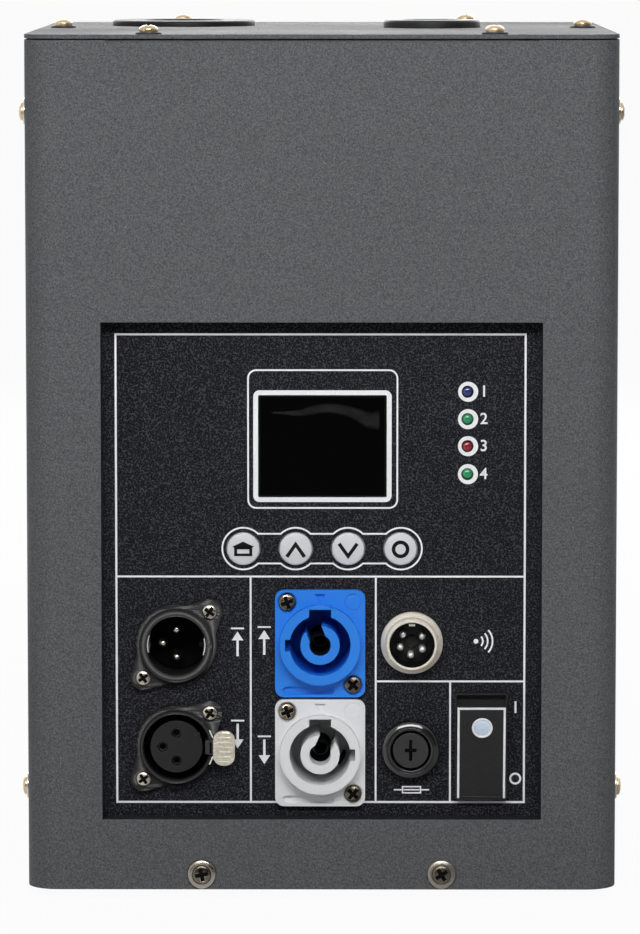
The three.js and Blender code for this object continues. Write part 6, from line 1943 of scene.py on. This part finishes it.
@dataclass
class Works:
    """The engine, fan and boards inside, which show only through the vents."""

    shop: Workshop
    finishes: dict[str, Finish] = field(default_factory=lambda: {
        "heating_chamber": Finishes.steel, "heater_jacket": Finishes.fibre, "engine_bracket": Finishes.zinc,
        "hopper": Finishes.steel, "feed_barrel": Finishes.steel, "feed_auger": Finishes.steel,
        "feed_motor": Finishes.zinc, "blower_housing": Finishes.black, "blower_impeller": Finishes.black,
        "fan_frame": Finishes.black, "fan_rotor": Finishes.black, "power_supply": Finishes.board,
        "main_board": Finishes.board,
    })

    def build(self) -> None:
        """Dresses the pieces inside."""
        for node, finish in self.finishes.items():
            self.shop.dress(node, finish, bevel=0.15)


@dataclass(frozen=True)
class Whiteness:
    """Where mirrored rays see the white background: beyond a reach towards one side."""

    side: Place
    start: float
    end: float

    def seen(self, work: Wiring, along: Socket) -> Socket:
        """Wires up where a ray sees white: straight, through glass, or mirrored from the white side.

        Args:
            work: The wiring of the world or of the sheet.
            along: Where the ray looks or lands.

        Returns:
            1 where it sees white and 0 where it doesn't.
        """
        ray = work.node("LightPath", {}).outputs
        reach = work.node("VectorMath", {0: along, 1: self.side}, operation="DOT_PRODUCT").outputs["Value"]
        mirrored = work.maths("MULTIPLY", ray["Is Glossy Ray"], work.span(reach, self.start, self.end))
        direct = work.maths("MAXIMUM", ray["Is Camera Ray"], ray["Is Transmission Ray"])
        return work.maths("MAXIMUM", direct, mirrored)


@dataclass(frozen=True)
class Lamp:
    """A soft oblong lamp; lengths are in metres and the power is in watts."""

    name: str
    place: Place
    size: Point
    power: float

    def build(self, target: Place) -> None:
        """Adds the lamp to the scene.

        Args:
            target: The point that it looks at.
        """
        data = bpy.data.lights.new(self.name, "AREA")
        data.shape = "RECTANGLE"
        data.size, data.size_y = self.size
        data.energy = self.power
        lamp = bpy.data.objects.new(self.name, data)
        lamp.location = self.place
        lamp.rotation_euler = (Vector(target) - Vector(self.place)).to_track_quat("-Z", "Y").to_euler()
        bpy.context.scene.collection.objects.link(lamp)


@dataclass
class Studio:
    """Floor, backdrop, lamps and camera."""

    lamps: tuple[Lamp, ...] = (
        Lamp("key", (0.0, -0.62, 0.46), (0.56, 0.14), 3.1),
        Lamp("left", (-1.15, -0.75, 0.5), (0.06, 1.2), 0.7),
        Lamp("right", (1.2, -0.9, 0.4), (0.06, 0.8), 0.25),
        Lamp("rim", (0.0, 1.3, 0.75), (1.9, 1.0), 20.5),
    )
    target: Place = (0.0, 0.0, 0.13)
    world_white: Whiteness = Whiteness((-0.3, 0.8, 0.5), -0.45, -0.33)
    world_light: float = 0.07
    sheet_white: Whiteness = Whiteness((-0.7, 0.714, 0.0), -0.12, -0.06)
    sheet_share: float = 0.955
    sheet_radius: float = 22.0
    sheet_colour: Colour = (0.62, 0.62, 0.62)
    camera_place: Place = (6.805, -1556.39, 281.59)
    pitch: float = 0.10588
    yaw: float = 0.00495
    lens: float = 198.76
    sensor: float = 36.0

    def build(self) -> None:
        """Builds the whole studio."""
        self.world()
        self.floor()
        for lamp in self.lamps:
            lamp.build(self.target)
        self.camera()

    def world(self) -> None:
        """Sets an even pale world whose background is white."""
        world = bpy.data.worlds.new("studio")
        bpy.context.scene.world = world
        world.use_nodes = True
        world.node_tree.nodes.clear()
        work = Wiring(world.node_tree)
        seen = self.world_white.seen(work, work.node("TexCoord", {}).outputs["Generated"])
        dim, bright = (work.node("Background", {"Color": WHITE, "Strength": strength}).outputs[0]
                       for strength in (self.world_light, 1.0))
        mix = work.node("MixShader", {0: seen, 1: dim, 2: bright}).outputs[0]
        work.node("OutputWorld", {0: mix})

    def floor(self) -> None:
        """Builds a wide pale sheet under the machine, the same on all its sides."""
        mesh = bmesh.new()
        mesh.faces.new([mesh.verts.new((x, y, 0.0)) for x, y in circle(self.sheet_radius, steps=96)])
        data = bpy.data.meshes.new("studio_sheet")
        mesh.to_mesh(data)
        mesh.free()
        sheet = bpy.data.objects.new("studio_sheet", data)
        bpy.context.scene.collection.objects.link(sheet)
        data.materials.append(self.sheet_material())

    def sheet_material(self) -> bpy.types.Material:
        """Builds the pale sheet's material, which keeps the machine's shadow and stays near white.

        Returns:
            The material.
        """
        made = bpy.data.materials.new("pale_sheet")
        made.use_nodes = True
        work = Wiring(made.node_tree)
        shader = made.node_tree.nodes["Principled BSDF"]
        shader.inputs["Base Color"].default_value = (*self.sheet_colour, 1.0)
        shader.inputs["Roughness"].default_value = 0.9
        glow = work.node("Emission", {"Color": WHITE, "Strength": 1.0}).outputs[0]
        white = self.sheet_white.seen(work, work.node("NewGeometry", {}).outputs["Position"])
        seen = work.maths("MULTIPLY", white, self.sheet_share)
        mix = work.node("MixShader", {0: seen, 1: shader.outputs[0], 2: glow}).outputs[0]
        made.node_tree.links.new(mix, made.node_tree.nodes["Material Output"].inputs[0])
        return made

    def camera(self) -> None:
        """Adds the camera at the photograph's viewing angle."""
        data = bpy.data.cameras.new("camera")
        data.sensor_width = self.sensor
        data.lens = self.lens
        camera = bpy.data.objects.new("camera", data)
        camera.location = [value * MM for value in self.camera_place]
        camera.rotation_euler = (math.pi / 2 - self.pitch, 0.0, self.yaw)
        bpy.context.scene.collection.objects.link(camera)
        bpy.context.scene.camera = camera


def build_sockets(shop: Workshop) -> None:
    """Builds every socket, the fuse and the switch.

    Args:
        shop: The workshop that makes the pieces.
    """
    data_in = DataSocket(shop=shop, lift=70.5)
    data_in.shell("data_in_shell", "dmx_in_socket")
    data_in.pins("data_in", "dmx_in_insert")
    data_out = DataSocket(shop=shop, lift=41.0, cavity=9.8, mouth=9.6)
    data_out.shell("data_out_shell", "dmx_out_socket")
    data_out.holes("data_out_insert", "dmx_out_insert")
    data_out.latch("data_out_latch", "dmx_out_latch", "release_tab")
    PowerSocket(shop=shop, name="power_in", lift=70.8, finish=Finishes.blue, hand=Hand.LEFT, core_gap=111.0,
                lining_sink=1.0).build()
    PowerSocket(shop=shop, name="power_out", lift=38.95, finish=Finishes.white, hand=Hand.RIGHT, core_gap=66.0,
                lining_sink=7.0, blade_angles=(330.0,)).build()
    for fitting in (RemoteSocket, FuseHolder, PowerSwitch):
        fitting(shop=shop).build()


def main() -> None:
    """Builds the machine and its studio, then notes how many pieces were made."""
    logging.basicConfig(level=logging.INFO, format="%(message)s")
    bpy.context.scene.view_settings.view_transform = "Standard"
    shop = Workshop()
    Cabinet(shop).build()
    ControlPanel(shop).build()
    build_sockets(shop)
    LidFittings(shop).build()
    Works(shop).build()
    Studio().build()
    LOG.info("%d pieces are in place", shop.made)
    bpy.context.view_layer.update()


if __name__ == "__main__":
    main()
